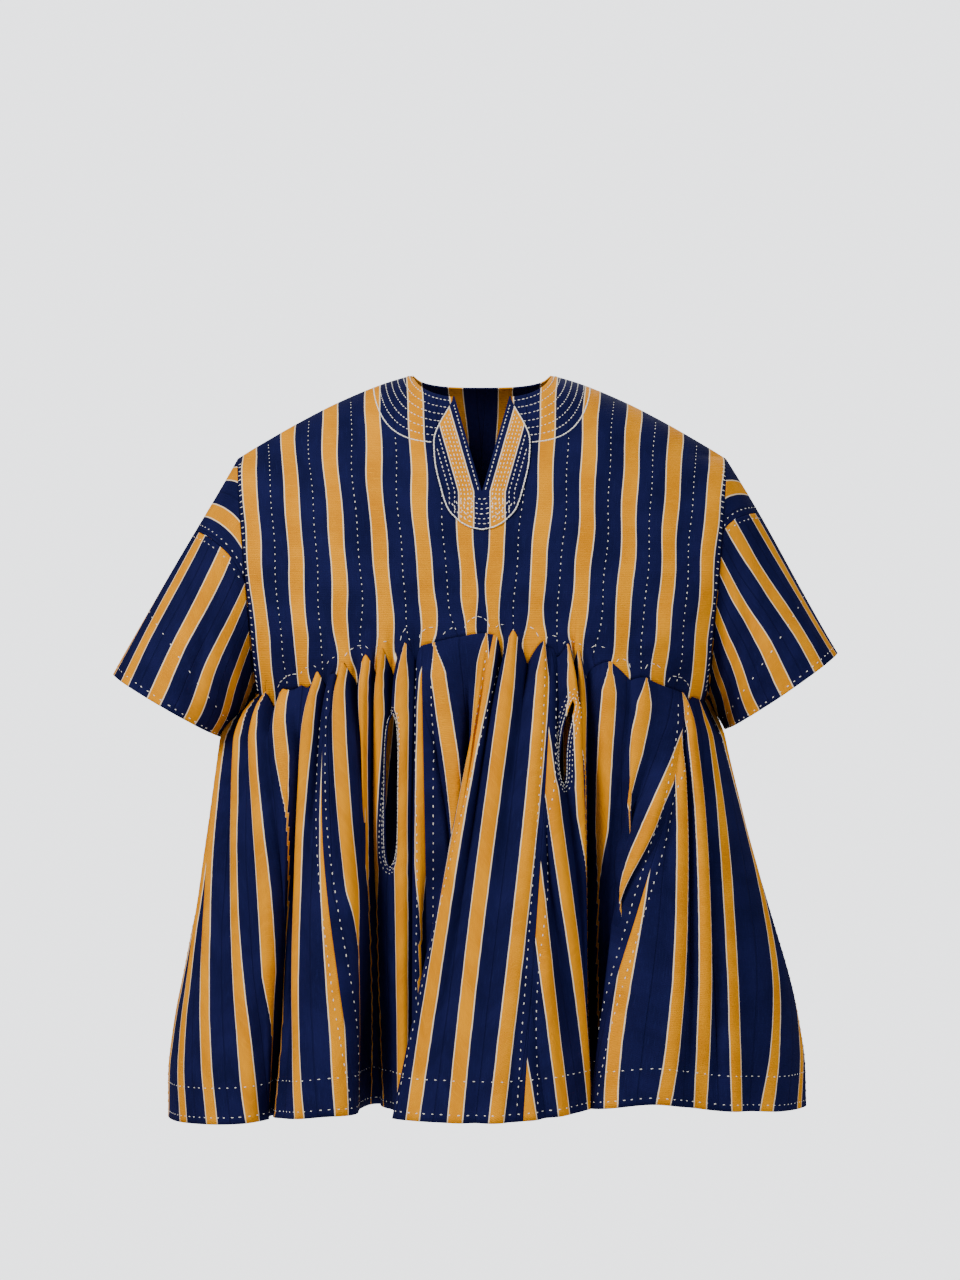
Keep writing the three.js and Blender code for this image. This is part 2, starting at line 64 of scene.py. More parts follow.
SHOULDER = {"top": 4.0, "flat_to": 60.0, "fall": 0.0541, "power": 1.4, "edge": 262.0}
NECK = {"half": 74.0, "front_drop": 31.0, "back_drop": 12.0, "slit_half": 29.0, "slit_bottom": -128.0}
NECK_FRONT = SHOULDER["top"] - NECK["front_drop"]
ARMHOLE = {"centre": -216.0, "half_height": 128.8, "half_depth": 95.0}
YOKE_DEPTH = {FRONT: 146.0, BACK: 125.0}
YOKE_ROUND = {FRONT: 90.0, BACK: 75.0}
WAIST = {"half": 240.0, FRONT: -276.0, BACK: -292.0, "side": -350.0, "power": 1.3}
YOKE_EDGE = [(-350, 240), (-262, 245), (-87.2, 262)]  # height, half width
PLACKET_HALF = [(-168, 0), (-165, 13), (-158, 25), (-145, 36.5), (-124, 43.5), (-94, 50), (-76, 51), (-30, 31)]
COLLAR = {"half": 117.0, FRONT: 80.0, BACK: 56.0, "rows": 6}
# cap is the shoulder cap's part of the way to the cuff, and reach how far it runs round the arm.
SLEEVES = {
    "right": {"side": -1, "outer": (397, -320), "inner": (279, -388), "cap": 0.34, "reach": math.radians(92)},
    "left": {"side": 1, "outer": (383, -297), "inner": (263, -379), "cap": 0.29, "reach": math.radians(68)},
}
CUFF_DEPTH = 92.0
UNDERARM_EASE = 3.4

# The skirt's folds: place along X on the waist seam, then X and Y at the hem.
FRONT_FOLDS = [
    (-240, -338, 0), (-236, -324, -64), (-226, -290, -112), (-206, -252, -134), (-182, -226, -116),
    (-170, -222, -84), (-160, -213, -120), (-146, -186, -168), (-130, -152, -178), (-118, -132, -158),
    (-111, -128, -106), (-105, -114, -64), (-98, -98, -104), (-82, -82, -142), (-42, -58, -146),
    (-4, -44, -160), (4, -62, -176), (12, -92, -190), (26, -64, -214), (48, -12, -228),
    (71, 42, -222), (84, 86, -198), (93, 112, -158), (98, 108, -108), (103, 116, -62),
    (110, 131, -96), (126, 144, -124), (148, 150, -138), (154, 134, -146), (160, 113, -160),
    (172, 148, -186), (188, 196, -180), (202, 226, -154), (211, 256, -146), (221, 284, -118),
    (229, 312, -100), (236, 338, -52),
]
BACK_FOLDS = [
    (240, 349, 0), (235, 332, 62), (224, 298, 116), (206, 262, 140), (190, 236, 118),
    (180, 231, 82), (170, 219, 120), (152, 186, 168), (126, 142, 178), (110, 116, 152),
    (102, 112, 110), (95, 98, 88), (87, 82, 112), (68, 56, 176), (38, 14, 198),
    (8, -30, 186), (-6, -52, 150), (-13, -54, 108), (-20, -68, 88), (-29, -84, 114),
    (-50, -114, 168), (-86, -158, 184), (-118, -192, 160), (-128, -198, 118), (-136, -210, 98),
    (-146, -226, 116), (-166, -252, 144), (-196, -292, 118), (-228, -328, 62),
]
# How far the skirt swells out: share of the way down, at the right, at the left, in front, behind.
SWELL = [
    (0, 0, 0, 0, 0), (0.04, 14, 3, 6, 6), (0.1, 24, 8, 10, 10), (0.3, 20, 9, 12, 12),
    (0.5, 17, 13, 8, 10), (0.7, 17, 17, 3, 7), (0.85, 13, 13, 0, 3), (1, 0, 0, 0, 0),
]
HEM_Z = {
    FRONT: [
        (-338, -796), (-230, -787), (-150, -776), (0, -777), (113, -770), (175, -763), (240, -773), (349, -784),
    ],
    BACK: [(-338, -796), (-200, -786), (0, -780), (200, -776), (349, -784)],
}
# The gathers: their share of depth at the seam and where they're full, the deepest and the narrowest in mm, how
# far the seam rises on a gather and dips beside it, how far down that reaches, how round a crest is, how far it
# leans, and the smooth edge beside each of a gore's seams.
PLEAT = {
    "seam_share": 0.5, "full_at": 0.06, "deepest": 11.0, "narrowest": 12.0, "peak": 9.0, "dip": -25.0,
    "blend": 0.17, "bulb": 0.72, "lean": 0.3, "edge": 0.45,
}
PLEAT_STATIONS = np.array([0.0, 0.12, 0.25, 0.4, 0.55, 0.7, 0.85, 1.0])

# Each gore: its first seam by place on the waist and by row of the fold table at the hem, then the middles of
# its gold bands at the waist, half way down and at the hem, by row of the fold table, and for some the share
# of the way down where a seam or a deep fold's valley ends them. Inside a valley, the navy left in the gold's
# place is painted shade. A band can start beyond a seam, which cuts it to a point. Bow is how many rows the
# first seam bends off half way down. Behind, stripe is one gold band's row at the hem and kept the hem's
# share at the waist, and they place all the others.
FRONT_GORES = [
    {"node": "skirt_front_side_right", "waist": -240, "row": 0, "bands": [
        (0.0, 0.05, 0.25), (0.15, 0.65, 1.3), (0.55, 1.35, 2.2), (1.2, 2.25, 3.45), (2.0, 3.4, 4.6, 0.8),
        (2.9, 4.8, 5.7, 0.3), (4.9, 5.9, 6.9), (6.44, 7.4, 8.3)]},
    {"node": "skirt_front_pocket_right", "waist": -158, "row": 9, "bands": [
        (7.15, 8.7, 9.6, 0.64), (8.8, 10.4, 10.8, 0.52), (11.4, 11.35, 11.75, 0.56), (13.1, 13.0, 12.9),
        (13.66, 13.64, 13.62, 0.6)]},
    {"node": "skirt_front_inner_right", "waist": -62, "row": 14, "bands": [
        (13.8, 14.9, 15.4), (16.1, 16.35, 16.5)]},
    {"node": "skirt_front_centre", "waist": 12, "row": 17, "bands": [
        (16.87, 17.35, 17.8), (18.3, 18.5, 18.7), (19.7, 19.6, 19.47)]},
    {"node": "skirt_front_pocket_left", "waist": 72, "row": 20, "bands": [
        (18.4, 19.25, 20.15), (18.75, 19.95, 20.95), (19.2, 20.95, 22.0), (21.45, 22.3, 22.8, 0.5),
        (23.4, 23.6, 23.9, 0.26), (26.3, 24.8, 24.85, 0.52), (30.0, 27.2, 26.0, 0.32),
        (33.8, 29.0, 28.3, 0.54)]},
    {"node": "skirt_front_side_left", "waist": 210, "row": 29, "bow": -0.9, "bands": [
        (31.2, 29.97, 29.65), (31.6, 31.5, 30.8), (33.0, 32.5, 32.0), (35.2, 33.8, 33.3), (37.3, 36.1, 34.5),
        (39.5, 37.8, 36.0)]},
]
BACK_GORES = [
    {"node": "skirt_back_side_left", "waist": 240, "row": 37, "stripe": 40, "kept": 0.88},
    {"node": "skirt_back_left", "waist": 118, "row": 44.5, "stripe": 49, "kept": 0.85},
    {"node": "skirt_back_right", "waist": -2, "row": 52.5, "stripe": 56, "kept": 0.9},
    {"node": "skirt_back_side_right", "waist": -112, "row": 58.5, "stripe": 62, "kept": 0.88},
]
POCKETS = [
    {"node": "skirt_front_pocket_right", "x": -93, "top": -360, "bottom": -519, "width": 14, "lean": 3},
    {"node": "skirt_front_pocket_left", "x": 89, "top": -346, "bottom": -432, "width": 7, "lean": 4},
]

# ---- Sums ------------------------------------------------------------------


def lerp(a, b, share):
    return a + (b - a) * share


def smoothstep(value, low, high):
    share = np.clip((value - low) / (high - low), 0, 1)
    return share * share * (3 - 2 * share)


def straight(table, at):
    xs, ys = zip(*sorted(table))
    return np.interp(at, xs, ys)


def rounded(share):
    return np.sqrt(np.maximum(0, 1 - share))


def gentle_slopes(xs, ys):
    """Slopes of a curve through points that never swings past them."""
    rise = np.diff(ys) / np.diff(xs)
    slopes = np.concatenate([rise[:1], np.zeros(len(rise) - 1), rise[-1:]])
    before, after = rise[:-1], rise[1:]
    same_way = before * after > 0
    total = np.where(same_way, before + after, 1)
    slopes[1:-1] = np.where(same_way, 2 * before * after / total, 0)
    return slopes


def curve(xs, ys, slopes, at):
    xs, ys = np.asarray(xs, float), np.asarray(ys, float)
    i = np.clip(np.searchsorted(xs, at, side="right") - 1, 0, len(xs) - 2)
    span = xs[i + 1] - xs[i]
    t = np.clip((at - xs[i]) / span, 0, 1)
    ends = ys[i] * (1 + 2 * t) * (1 - t) ** 2 + ys[i + 1] * t * t * (3 - 2 * t)
    return ends + span * t * (1 - t) * (slopes[i] * (1 - t) - slopes[i + 1] * t)


def gentle(table, at, column=1):
    rows = sorted(table)
    xs, ys = [row[0] for row in rows], [row[column] for row in rows]
    return curve(xs, ys, gentle_slopes(np.array(xs, float), np.array(ys, float)), at)


def unit(vectors):
    return vectors / np.maximum(np.linalg.norm(vectors, axis=-1, keepdims=True), 1e-9)


def track(x, z):
    """Pairs of places, such as a path over a surface."""
    return np.stack([x, z], axis=-1)


def run_over(points):
    """Distance over the cloth from the first of a row of points."""
    return np.concatenate([[0], np.cumsum(np.linalg.norm(np.diff(points, axis=0), axis=1))])


def run_along_rows(points):
    """Distance over the cloth from the first column, row by row."""
    steps = np.linalg.norm(np.diff(points, axis=1), axis=2)
    return np.concatenate([np.zeros((len(points), 1)), np.cumsum(steps, axis=1)], axis=1)


# ---- The yoke --------------------------------------------------------------


def ridge(x):
    past = np.maximum(np.abs(x) - SHOULDER["flat_to"], 0)
    return SHOULDER["top"] - SHOULDER["fall"] * past ** SHOULDER["power"]


def edge_half(z):
    return straight(YOKE_EDGE, z)


def slit_half(z):
    return NECK["slit_half"] * np.clip((z - NECK["slit_bottom"]) / (NECK_FRONT - NECK["slit_bottom"]), 0, 1.2)


def yoke_depth(x, z, face):
    centre = YOKE_DEPTH[face] * np.sqrt(1 - np.exp(-np.maximum(ridge(x) - z, 0) / YOKE_ROUND[face]))
    room = 1 - ((z - ARMHOLE["centre"]) / ARMHOLE["half_height"]) ** 2
    across = np.clip(np.abs(x) / edge_half(z), 0, 1)
    inside = np.sqrt((room + np.sqrt(room**2 + 0.03)) / 2)
    oval = lerp(inside, np.sqrt(np.maximum(room, 0)), across**10)
    edge = np.minimum(ARMHOLE["half_depth"] * oval, centre)
    return edge + (centre - edge) * rounded(across**3)


def from_middle(x):
    """Share of the way from the waist's middle to its side."""
    return np.minimum(1, np.abs(x) / WAIST["half"])


def waist_z(x, face):
    return lerp(WAIST[face], WAIST["side"], from_middle(x) ** WAIST["power"])


def neck_z(x, face):
    drop = NECK["front_drop"] if face == FRONT else NECK["back_drop"]
    across = np.abs(x) / NECK["half"]
    return np.where(across < 1, SHOULDER["top"] - drop * rounded(across**3), ridge(x))


def shoulder_or_neck_z(x, face):
    return np.minimum(neck_z(x, face), ridge(x))


# Soft drags in the yoke: from and to (x, z), width and depth. A trough has a depth below nothing.
YOKE_DRAGS = {
    FRONT: [
        ((-236, -215), (-120, -262), 15, -2.6), ((-240, -240), (-150, -300), 12, 2.2),
        ((-225, -150), (-178, -230), 16, -2.2), ((238, -205), (140, -258), 16, -2.8),
        ((240, -236), (160, -300), 12, 2.4), ((228, -140), (186, -222), 15, -2.0),
        ((-150, -40), (-130, -130), 22, 1.6), ((150, -45), (118, -140), 22, 1.8),
        ((-60, -190), (-30, -262), 16, -1.4), ((66, -180), (40, -258), 15, 1.5),
        ((-190, -90), (-160, -170), 18, 1.8), ((196, -95), (170, -170), 18, 1.6),
    ],
    BACK: [
        ((-236, -215), (-110, -270), 16, -2.6), ((238, -210), (120, -275), 16, -2.8),
        ((-150, -60), (-120, -170), 24, 2.0), ((150, -60), (126, -165), 24, 1.8),
        ((-30, -120), (-50, -250), 20, -1.6), ((60, -130), (30, -260), 20, 1.6),
    ],
}


def drag(x, z, face):
    """How far the soft drags stand the yoke's cloth out."""
    out = np.zeros_like(x)
    for start, end, width, depth in YOKE_DRAGS[face]:
        run = np.subtract(end, start).astype(float)
        along = ((x - start[0]) * run[0] + (z - start[1]) * run[1]) / (run @ run)
        share = np.clip(along, 0, 1)
        off = np.hypot(x - start[0] - share * run[0], z - start[1] - share * run[1])
        ends = np.sin(np.pi * np.clip(along * 0.86 + 0.07, 0.02, 0.98))
        out += depth * np.exp(-((off / width) ** 2)) * ends
    return out


PUCKER_REACH = 17.0
PINCH_REACH = 26.0


def waist_pucker(x, z, face):
    """The gathers run on into the yoke for a little way over its seam."""
    above = np.maximum(z - waist_z(x, face), 0)
    places, heights, _ = seam_wave(face)
    return np.interp(x, places, heights) * np.exp(-above / PUCKER_REACH) * (1 - from_middle(x) ** 8)


def seam_z(x, face):
    """The waist seam's height: it rises to a peak on each gather and dips between them."""
    places, _, rises = seam_wave(face)
    return waist_z(x, face) + np.interp(x, places, rises)


def yoke_at(x, z, face):
    """Points on the yoke from places seen from the front."""
    fade = smoothstep(edge_half(z) - np.abs(x), 0, 30) * smoothstep(ridge(x) - z, 2, 40)
    depth = yoke_depth(x, z, face) + (drag(x, z, face) + waist_pucker(x, z, face)) * fade
    return np.stack([x, face * depth, z], axis=-1)


FIRST_GOLD = 18.0  # from the centre seam to the first gold band's middle
YOKE_PITCH = 45.6


def yoke_strips(x, z, face):
    """Strips across and along the yoke: two gold bands stand close to the centre and draw in towards it."""
    side_flare = np.maximum(np.abs(x) - 120, 0) ** 2 * np.clip((-z - 100) / 180, 0, 1)
    across = np.abs(x) + 0.065 * (-z - 150) + 0.0006 * side_flare
    across = across + 1.1 * np.sin(z / 31 + np.sign(x) * 1.1 + x / 40) + 0.7 * np.sin(z / 13 + x / 23)
    pinch = np.exp(-np.maximum(z - waist_z(x, face), 0) / PINCH_REACH) * (1 - from_middle(x) ** 6)
    across = across + pinch * (4.2 * np.sin(x / 10.5 + z / 19) + 2.4 * np.sin(x / 6.1 - z / 11))
    return track(0.5 + (across - FIRST_GOLD) / YOKE_PITCH, -z / STRIP + np.where(x < 0, 0.37, 0))


def yoke_patch(face, side, columns, rows):
    """Half of the front or back of the yoke, as points and strip places by row and column."""
    share = np.linspace(0, 1, columns)[None, :] ** 0.92
    down = np.linspace(0, 1, rows)[:, None] ** 1.7
    slit = slit_half if face == FRONT else np.zeros_like
    top_x = lerp(slit(np.full_like(share, NECK_FRONT)), SHOULDER["edge"], share)
    end_x = side * edge_half(waist_z(WAIST["half"] * share, face)) * share
    z = lerp(shoulder_or_neck_z(top_x, face), seam_z(end_x, face), down)
    x = side * lerp(slit(z), edge_half(z), share)
    z[0] = shoulder_or_neck_z(x[0], face)
    points, strips = yoke_at(x, z, face), yoke_strips(x, z, face)
    if side == face:  # columns always run round from the wearer's right over the front
        return points[:, ::-1], strips[:, ::-1]
    return points, strips


# ---- Sleeves and shoulder caps ---------------------------------------------


def sleeve_at(sleeve, angle, along):
    """A point on an arm: angle is 0 at the top and a quarter turn at the front, along is 1 at the cuff."""
    side = sleeve["side"]
    under = (1 - np.cos(angle)) / 2
    z = ARMHOLE["centre"] + ARMHOLE["half_height"] * np.cos(angle)
    hole_x = edge_half(z) + 0.3 + UNDERARM_EASE * under**2
    cuff_x = lerp(sleeve["outer"][0], sleeve["inner"][0], under)
    cuff_z = lerp(sleeve["outer"][1], sleeve["inner"][1], under)
    y = -lerp(ARMHOLE["half_depth"], CUFF_DEPTH, along) * np.sin(angle)
    point = np.stack([side * lerp(hole_x, cuff_x, along), y, lerp(z, cuff_z, along)], axis=-1)
    ease = np.sin(np.pi * np.clip(along, 0, 1)) ** 0.8
    soft = 2.4 * np.sin(3 * angle + 2.2 * along + side) + 1.6 * np.sin(5 * angle - 3.1 * along) * along
    drag_line = np.abs(angle) - 1.15 - 0.9 * along
    soft = soft - 3.6 * np.exp(-((drag_line / 0.13) ** 2)) + 2.2 * np.exp(-(((drag_line + 0.32) / 0.16) ** 2))
    soft = soft + 2.6 * np.exp(-(((along - 0.3) / 0.12) ** 2)) * np.exp(-(((np.abs(angle) - 1.9) / 0.5) ** 2))
    out = np.stack([side * 0.86 * np.cos(angle), -np.sin(angle), 0.5 * np.cos(angle)], axis=-1)
    return point + out * (soft * ease * smoothstep(np.pi - np.abs(angle), 0, 0.7))[..., None]


def cap_end(sleeve, angle):
    return sleeve["cap"] * np.cos(np.pi / 2 * np.minimum(1, np.abs(angle) / sleeve["reach"]))


# A gold band on the front of each sleeve: where it lies round the arm at both ends, in degrees, and the
# distance from band to band at both ends.
SLEEVE_STRIPE = {"right": (66, 80), "left": (85, 89)}
SLEEVE_PITCH = (50.0, 45.5)


def sleeve_patch(name, columns, rows):
    """A sleeve's tube from the cap or the armhole to the cuff, as points and strip places."""
    sleeve = SLEEVES[name]
    angle = np.linspace(np.pi, -np.pi, columns)[None, :] * np.ones((rows, 1))
    along = lerp(cap_end(sleeve, angle) + 0.001, 1.0, np.linspace(0, 1, rows)[:, None])
    points = sleeve_at(sleeve, angle, along)
    run = run_along_rows(points)
    stripe = np.radians(lerp(*SLEEVE_STRIPE[name], along))
    stripe_run = [np.interp(s[0], a[::-1], r[::-1]) for s, a, r in zip(stripe, angle, run)]
    across = 0.5 - (run - np.array(stripe_run)[:, None]) / lerp(*SLEEVE_PITCH, along)
    return points, track(across + 0.03 * np.sin(along * 8 + angle * 2), along * 5.2)


CAP_STRIPE = {"right": 26.0, "left": 30.0}  # from the sleeve's seam to a gold band


def cap_patch(name, columns, rows):
    """A shoulder cap from the armhole to its sleeve, as points and strip places."""
    sleeve = SLEEVES[name]
    reach = sleeve["reach"] * 0.97
    angle = np.linspace(reach, -reach, columns)[None, :] * np.ones((rows, 1))
    along = lerp(0.0, cap_end(sleeve, angle) - 0.001, np.linspace(0, 1, rows)[:, None])
    points = sleeve_at(sleeve, angle, along)
    top = sleeve_at(sleeve, np.zeros(2), np.array([0.0, 1.0]))
    length = np.linalg.norm(top[1] - top[0])
    lean = 0.9 * np.sin(np.pi / 2 * np.abs(angle) / sleeve["reach"])
    from_seam = (cap_end(sleeve, angle) - along) * length / np.sqrt(1 + lean**2)
    across = 0.5 + (from_seam - CAP_STRIPE[name]) / STRIP
    return points, track(across, angle * 105 / STRIP)


# ---- The skirt -------------------------------------------------------------


def waist_run():
    """The waist seam from above, once round from the right side seam over the front."""
    share = np.linspace(0, 1, 301)
    front_x, back_x = -WAIST["half"] * np.cos(np.pi * share), WAIST["half"] * np.cos(np.pi * share[1:])
    x = np.concatenate([front_x, back_x])
    y = np.concatenate([
        -yoke_depth(front_x, waist_z(front_x, FRONT), FRONT),
        yoke_depth(back_x, waist_z(back_x, BACK), BACK),
    ])
    run = np.concatenate([[0], np.cumsum(np.hypot(np.diff(x), np.diff(y)))])
    return x, y, run


WAIST_X, WAIST_Y, WAIST_RUN = waist_run()
SIDE_RUN, WHOLE_RUN = WAIST_RUN[300], WAIST_RUN[-1]


def run_at(x, face):
    if face == FRONT:
        return np.interp(x, WAIST_X[:301], WAIST_RUN[:301])
    return np.interp(-np.asarray(x), -WAIST_X[300:], WAIST_RUN[300:])


def make_dial():
    """Marks round the skirt, 0 to 1 in front and 1 to 2 behind, and each fold's places at waist and hem."""
    folds = np.array([*FRONT_FOLDS, *BACK_FOLDS, FRONT_FOLDS[0]], float)
    front = len(FRONT_FOLDS)
    run = np.array([*run_at(folds[:front, 0], FRONT), *run_at(folds[front:-1, 0], BACK), WHOLE_RUN])
    hem = np.concatenate([[0], np.cumsum(np.hypot(*np.diff(folds[:, 1:], axis=0).T))])
    behind = np.arange(len(folds)) > front
    first = 0.5 * run / SIDE_RUN + 0.5 * hem / hem[front]
    hem_share = (hem - hem[front]) / (hem[-1] - hem[front])
    second = 1 + 0.5 * (run - SIDE_RUN) / (WHOLE_RUN - SIDE_RUN) + 0.5 * hem_share
    dial = np.where(behind, second, first)
    steps = np.diff(dial)
    before, after = np.roll(np.arange(len(folds) - 1), 1), np.arange(len(folds) - 1)
    slopes = {}
    for column, key in ((1, "x"), (2, "y")):
        spots = folds[:-1, column]
        lean = (np.roll(spots, -1) - np.roll(spots, 1)) / (steps[before] + steps[after])
        slopes[key] = np.append(lean, lean[0])
    rate = np.diff(run) / steps
    pace = 2 * rate[before] * rate / (rate[before] + rate)
    slopes["run"] = np.append(pace, pace[0])
    return dial, {"x": folds[:, 1], "y": folds[:, 2], "run": run}, slopes


DIAL, FOLD, FOLD_SLOPE = make_dial()


def carry(key, mark):
    return curve(DIAL, FOLD[key], FOLD_SLOPE[key], mark)


def row_mark(row):
    return float(np.interp(row, np.arange(len(DIAL)), DIAL))


FINE_MARKS = np.linspace(0, 2, 8001)
FINE_RUNS = carry("run", FINE_MARKS)


def waist_mark(x, face):
    return float(np.interp(run_at(x, face), FINE_RUNS, FINE_MARKS))


def skirt_at(mark, down, pleat=0.0, rise=0.0):
    """Points on the skirt: down is 0 at the waist and 1 at the hem, pleat stands out, rise lifts the seam."""
    mark = np.where(mark > 2, mark - 2, np.where(mark < 0, mark + 2, mark))
    face_front = mark < 1
    run = carry("run", mark)
    waist_x, waist_y = np.interp(run, WAIST_RUN, WAIST_X), np.interp(run, WAIST_RUN, WAIST_Y)
    hem_x, hem_y = carry("x", mark), carry("y", mark)
    out = unit(track(waist_x / WAIST["half"] ** 2, waist_y / YOKE_DEPTH[FRONT] ** 2))
    swells = [gentle(SWELL, down, column) for column in (1, 2, 3, 4)]
    sideways = np.where(waist_x < 0, swells[0], swells[1])
    outward = np.where(face_front, swells[2], swells[3])
    swell = out[..., 0] ** 2 * sideways + out[..., 1] ** 2 * outward + pleat
    x = lerp(waist_x, hem_x, down) + out[..., 0] * swell
    y = lerp(waist_y, hem_y, down) + out[..., 1] * swell
    top = np.where(face_front, waist_z(waist_x, FRONT), waist_z(waist_x, BACK))
    hem = np.where(face_front, gentle(HEM_Z[FRONT], hem_x), gentle(HEM_Z[BACK], hem_x))
    return np.stack([x, y, lerp(top, hem, down) + rise * (1 - smoothstep(down, 0, PLEAT["blend"]))], axis=-1)


def gather_depths():
    """Depth over spacing of a gather, for each amount of cloth it takes up."""
    turn = np.linspace(0, 2 * np.pi, 200)
    depth = np.linspace(0, 0.9, 31)[:, None]
    x = turn + PLEAT["bulb"] * np.minimum(1, depth / 0.3) * np.sin(turn)
    steps = np.hypot(np.diff(x, axis=1), np.diff(2 * np.pi * depth * np.cos(turn), axis=1))
    return steps.sum(axis=1) / (2 * np.pi), depth[:, 0]


GATHER_RUN, GATHER_DEPTH = gather_depths()


RUNS_ON = 9.0  # a stop far below the hem, for a band that nothing swallows
TIP_LENGTH, STOP_LENGTH = 0.06, 0.14  # over what share of the way down a band draws to a point
SLIT_EASE = 16.0  # how far from a pocket's slit the cloth gives way to its opening


class Gore:
    """One panel of the skirt, from its seam to the next gore's."""

    def __init__(self, gore, following, face):
        pair = (gore, following)
        self.node = gore["node"]
        self.top = [self.top_mark(seam, face) for seam in pair]
        self.hem = [row_mark(seam["row"]) for seam in pair]
        self.bow = [seam.get("bow", 0) * (row_mark(seam["row"] + 1) - row_mark(seam["row"])) for seam in pair]
        if "bands" in gore:
            self.lines = np.array([[row_mark(row) for row in band[:3]] for band in gore["bands"]])
            self.stops = np.array([band[3] if len(band) > 3 else RUNS_ON for band in gore["bands"]])
        else:
            self.lines = self.even_lines(gore)
            self.stops = np.full(len(self.lines), RUNS_ON)
        draw = random.Random(self.node)
        count = len(self.lines)
        self.vary = np.array([draw.uniform(0.85, 1.2) for _ in range(count + 1)])
        self.leans = np.array([draw.uniform(-1, 1) * PLEAT["lean"] for _ in range(count + 1)])
        self.tips = np.array([draw.choice((-0.06, 0.0, 0.0, 0.005, 0.01)) for _ in range(count)])
        self.wander = [draw.uniform(0, 6.28) for _ in range(4)]
        self.pocket = next((p for p in POCKETS if p["node"] == self.node), None)
        self.slit = None
        self.folds = self.gathers()

    @staticmethod
    def top_mark(seam, face):
        at_side = abs(seam["waist"]) == WAIST["half"]
        return row_mark(seam["row"]) if at_side else waist_mark(seam["waist"], face)

    def seams(self, down):
        """Marks of the gore's two seams at a height."""
        return [lerp(self.top[i], self.hem[i], down) + self.bow[i] * 4 * down * (1 - down) for i in (0, 1)]

    def mark(self, share, down):
        return lerp(*self.seams(down), share)

    def even_lines(self, gore):
        """Gold bands one strip apart at the hem, some of them cut off by the seams higher up."""
        marks = np.linspace(*self.hem, 400)
        cloth = skirt_at(marks, np.ones(400))
        run = run_over(cloth)
        first = np.interp(row_mark(gore["stripe"]), marks, run) % STRIP - STRIP
        share = np.arange(first, run[-1] + STRIP, STRIP) / run[-1]
        hem = lerp(*self.hem, share) + np.interp(share, run / run[-1], marks - lerp(*self.hem, run / run[-1]))
        top = lerp(*self.top, 0.5 + (share - 0.5) / gore["kept"])
        return np.stack([top, (top + hem) / 2, hem], axis=-1)

    def lines_at(self, down):
        """Where the gold bands' middles are at a height: one row of marks for each band."""
        down = np.asarray(down, float)
        parts = ((1 - down) * (1 - 2 * down), 4 * down * (1 - down), down * (2 * down - 1))
        return sum(np.multiply.outer(self.lines[:, i], part) for i, part in enumerate(parts))

    def strip_place(self, mark, down):
        """Strips across the gore up to a mark, with each gold band's middle on a half."""
        lines = self.lines_at(down)
        gaps = np.maximum(np.diff(lines, axis=0), 1e-4)
        place = 0.5 + np.clip((mark - lines[:-1]) / gaps, 0, 1).sum(axis=0)
        return place + np.minimum(0, mark - lines[0]) / gaps[0] + np.maximum(0, mark - lines[-1]) / gaps[-1]

    def gathers(self):
        """The gathers' spacing and depth between each two gold bands, at each height."""
        found = []
        for down in PLEAT_STATIONS:
            lines = self.lines_at(down)
            marks = np.linspace(lines.min(), lines.max(), 500)
            cloth = skirt_at(marks, np.full(500, down))
            run = run_over(cloth)
            space = np.maximum(np.diff(np.interp(lines, marks, run)), PLEAT["narrowest"])
            depth = space * np.interp(STRIP / space, GATHER_RUN, GATHER_DEPTH)
            found.append((np.diff(lines), np.minimum(depth, PLEAT["deepest"]), depth / space))
        return np.array(found)

    def fold_at(self, place, down):
        """Spacing in marks, depth and roundness of the gathers at places on the gore."""
        here = np.clip(place - 1, 0, len(self.lines) - 2)
        low = np.floor(here).astype(int)
        high, share = np.minimum(low + 1, len(self.lines) - 2), here - low
        step = np.interp(down, PLEAT_STATIONS, np.arange(len(PLEAT_STATIONS)))
        above = np.minimum(np.floor(step).astype(int), len(PLEAT_STATIONS) - 2)
        for number in range(3):
            table = self.folds[:, number]
            yield lerp(
                lerp(table[above, low], table[above + 1, low], step - above),
                lerp(table[above, high], table[above + 1, high], step - above), share,
            )

    def pleat(self, share, down):
        """How far the gathers stand out, and how far they lean along the cloth, in marks."""
        mark = self.mark(share, down)
        place = self.strip_place(mark, down)
        space, depth, steep = self.fold_at(place, down)
        ends = self.seams(down)
        space = np.maximum(space, 0.003)
        edge = smoothstep(np.minimum(mark - ends[0], ends[1] - mark) / space, 0, PLEAT["edge"])
        beyond = np.maximum(0.5 - place, place - len(self.lines) + 0.5)
        edge = edge * (1 - smoothstep(beyond, 0.1, 0.6))
        rise = lerp(PLEAT["seam_share"], 1, smoothstep(down, 0, PLEAT["full_at"])) * edge
        names = np.arange(len(self.vary))
        vary = np.interp(place - 0.5, names, self.vary)
        turn = 2 * np.pi * (place - 0.5)
        broad = 2.0 * np.sin(turn / 2.3 + self.wander[1] + 1.2 * down)
        broad = broad + 1.3 * np.sin(turn / 1.3 + self.wander[2] - 1.5 * down)
        hang = edge * np.sin(np.pi * np.clip(down, 0, 1)) ** 0.7
        lean = np.interp(place - 0.5, names, self.leans) * np.cos(turn)
        round_crest = PLEAT["bulb"] * np.minimum(1, steep / 0.3) * np.sin(turn)
        out = depth * vary * rise * np.cos(turn) + broad * hang
        sideways = space / (2 * np.pi) * rise * np.minimum(1, steep / 0.1) * (round_crest + lean)
        off = 2 * np.abs(place - 0.5 - np.round(place - 0.5))
        peak = lerp(PLEAT["peak"], PLEAT["dip"], off) * vary * edge * np.minimum(1, steep / 0.2)
        return out, sideways, peak

    def at(self, share, down):
        share, down = np.broadcast_arrays(np.asarray(share, float), np.asarray(down, float))
        out, lean, peak = self.pleat(share, down)
        return skirt_at(self.mark(share, down) + lean, down, out, peak)

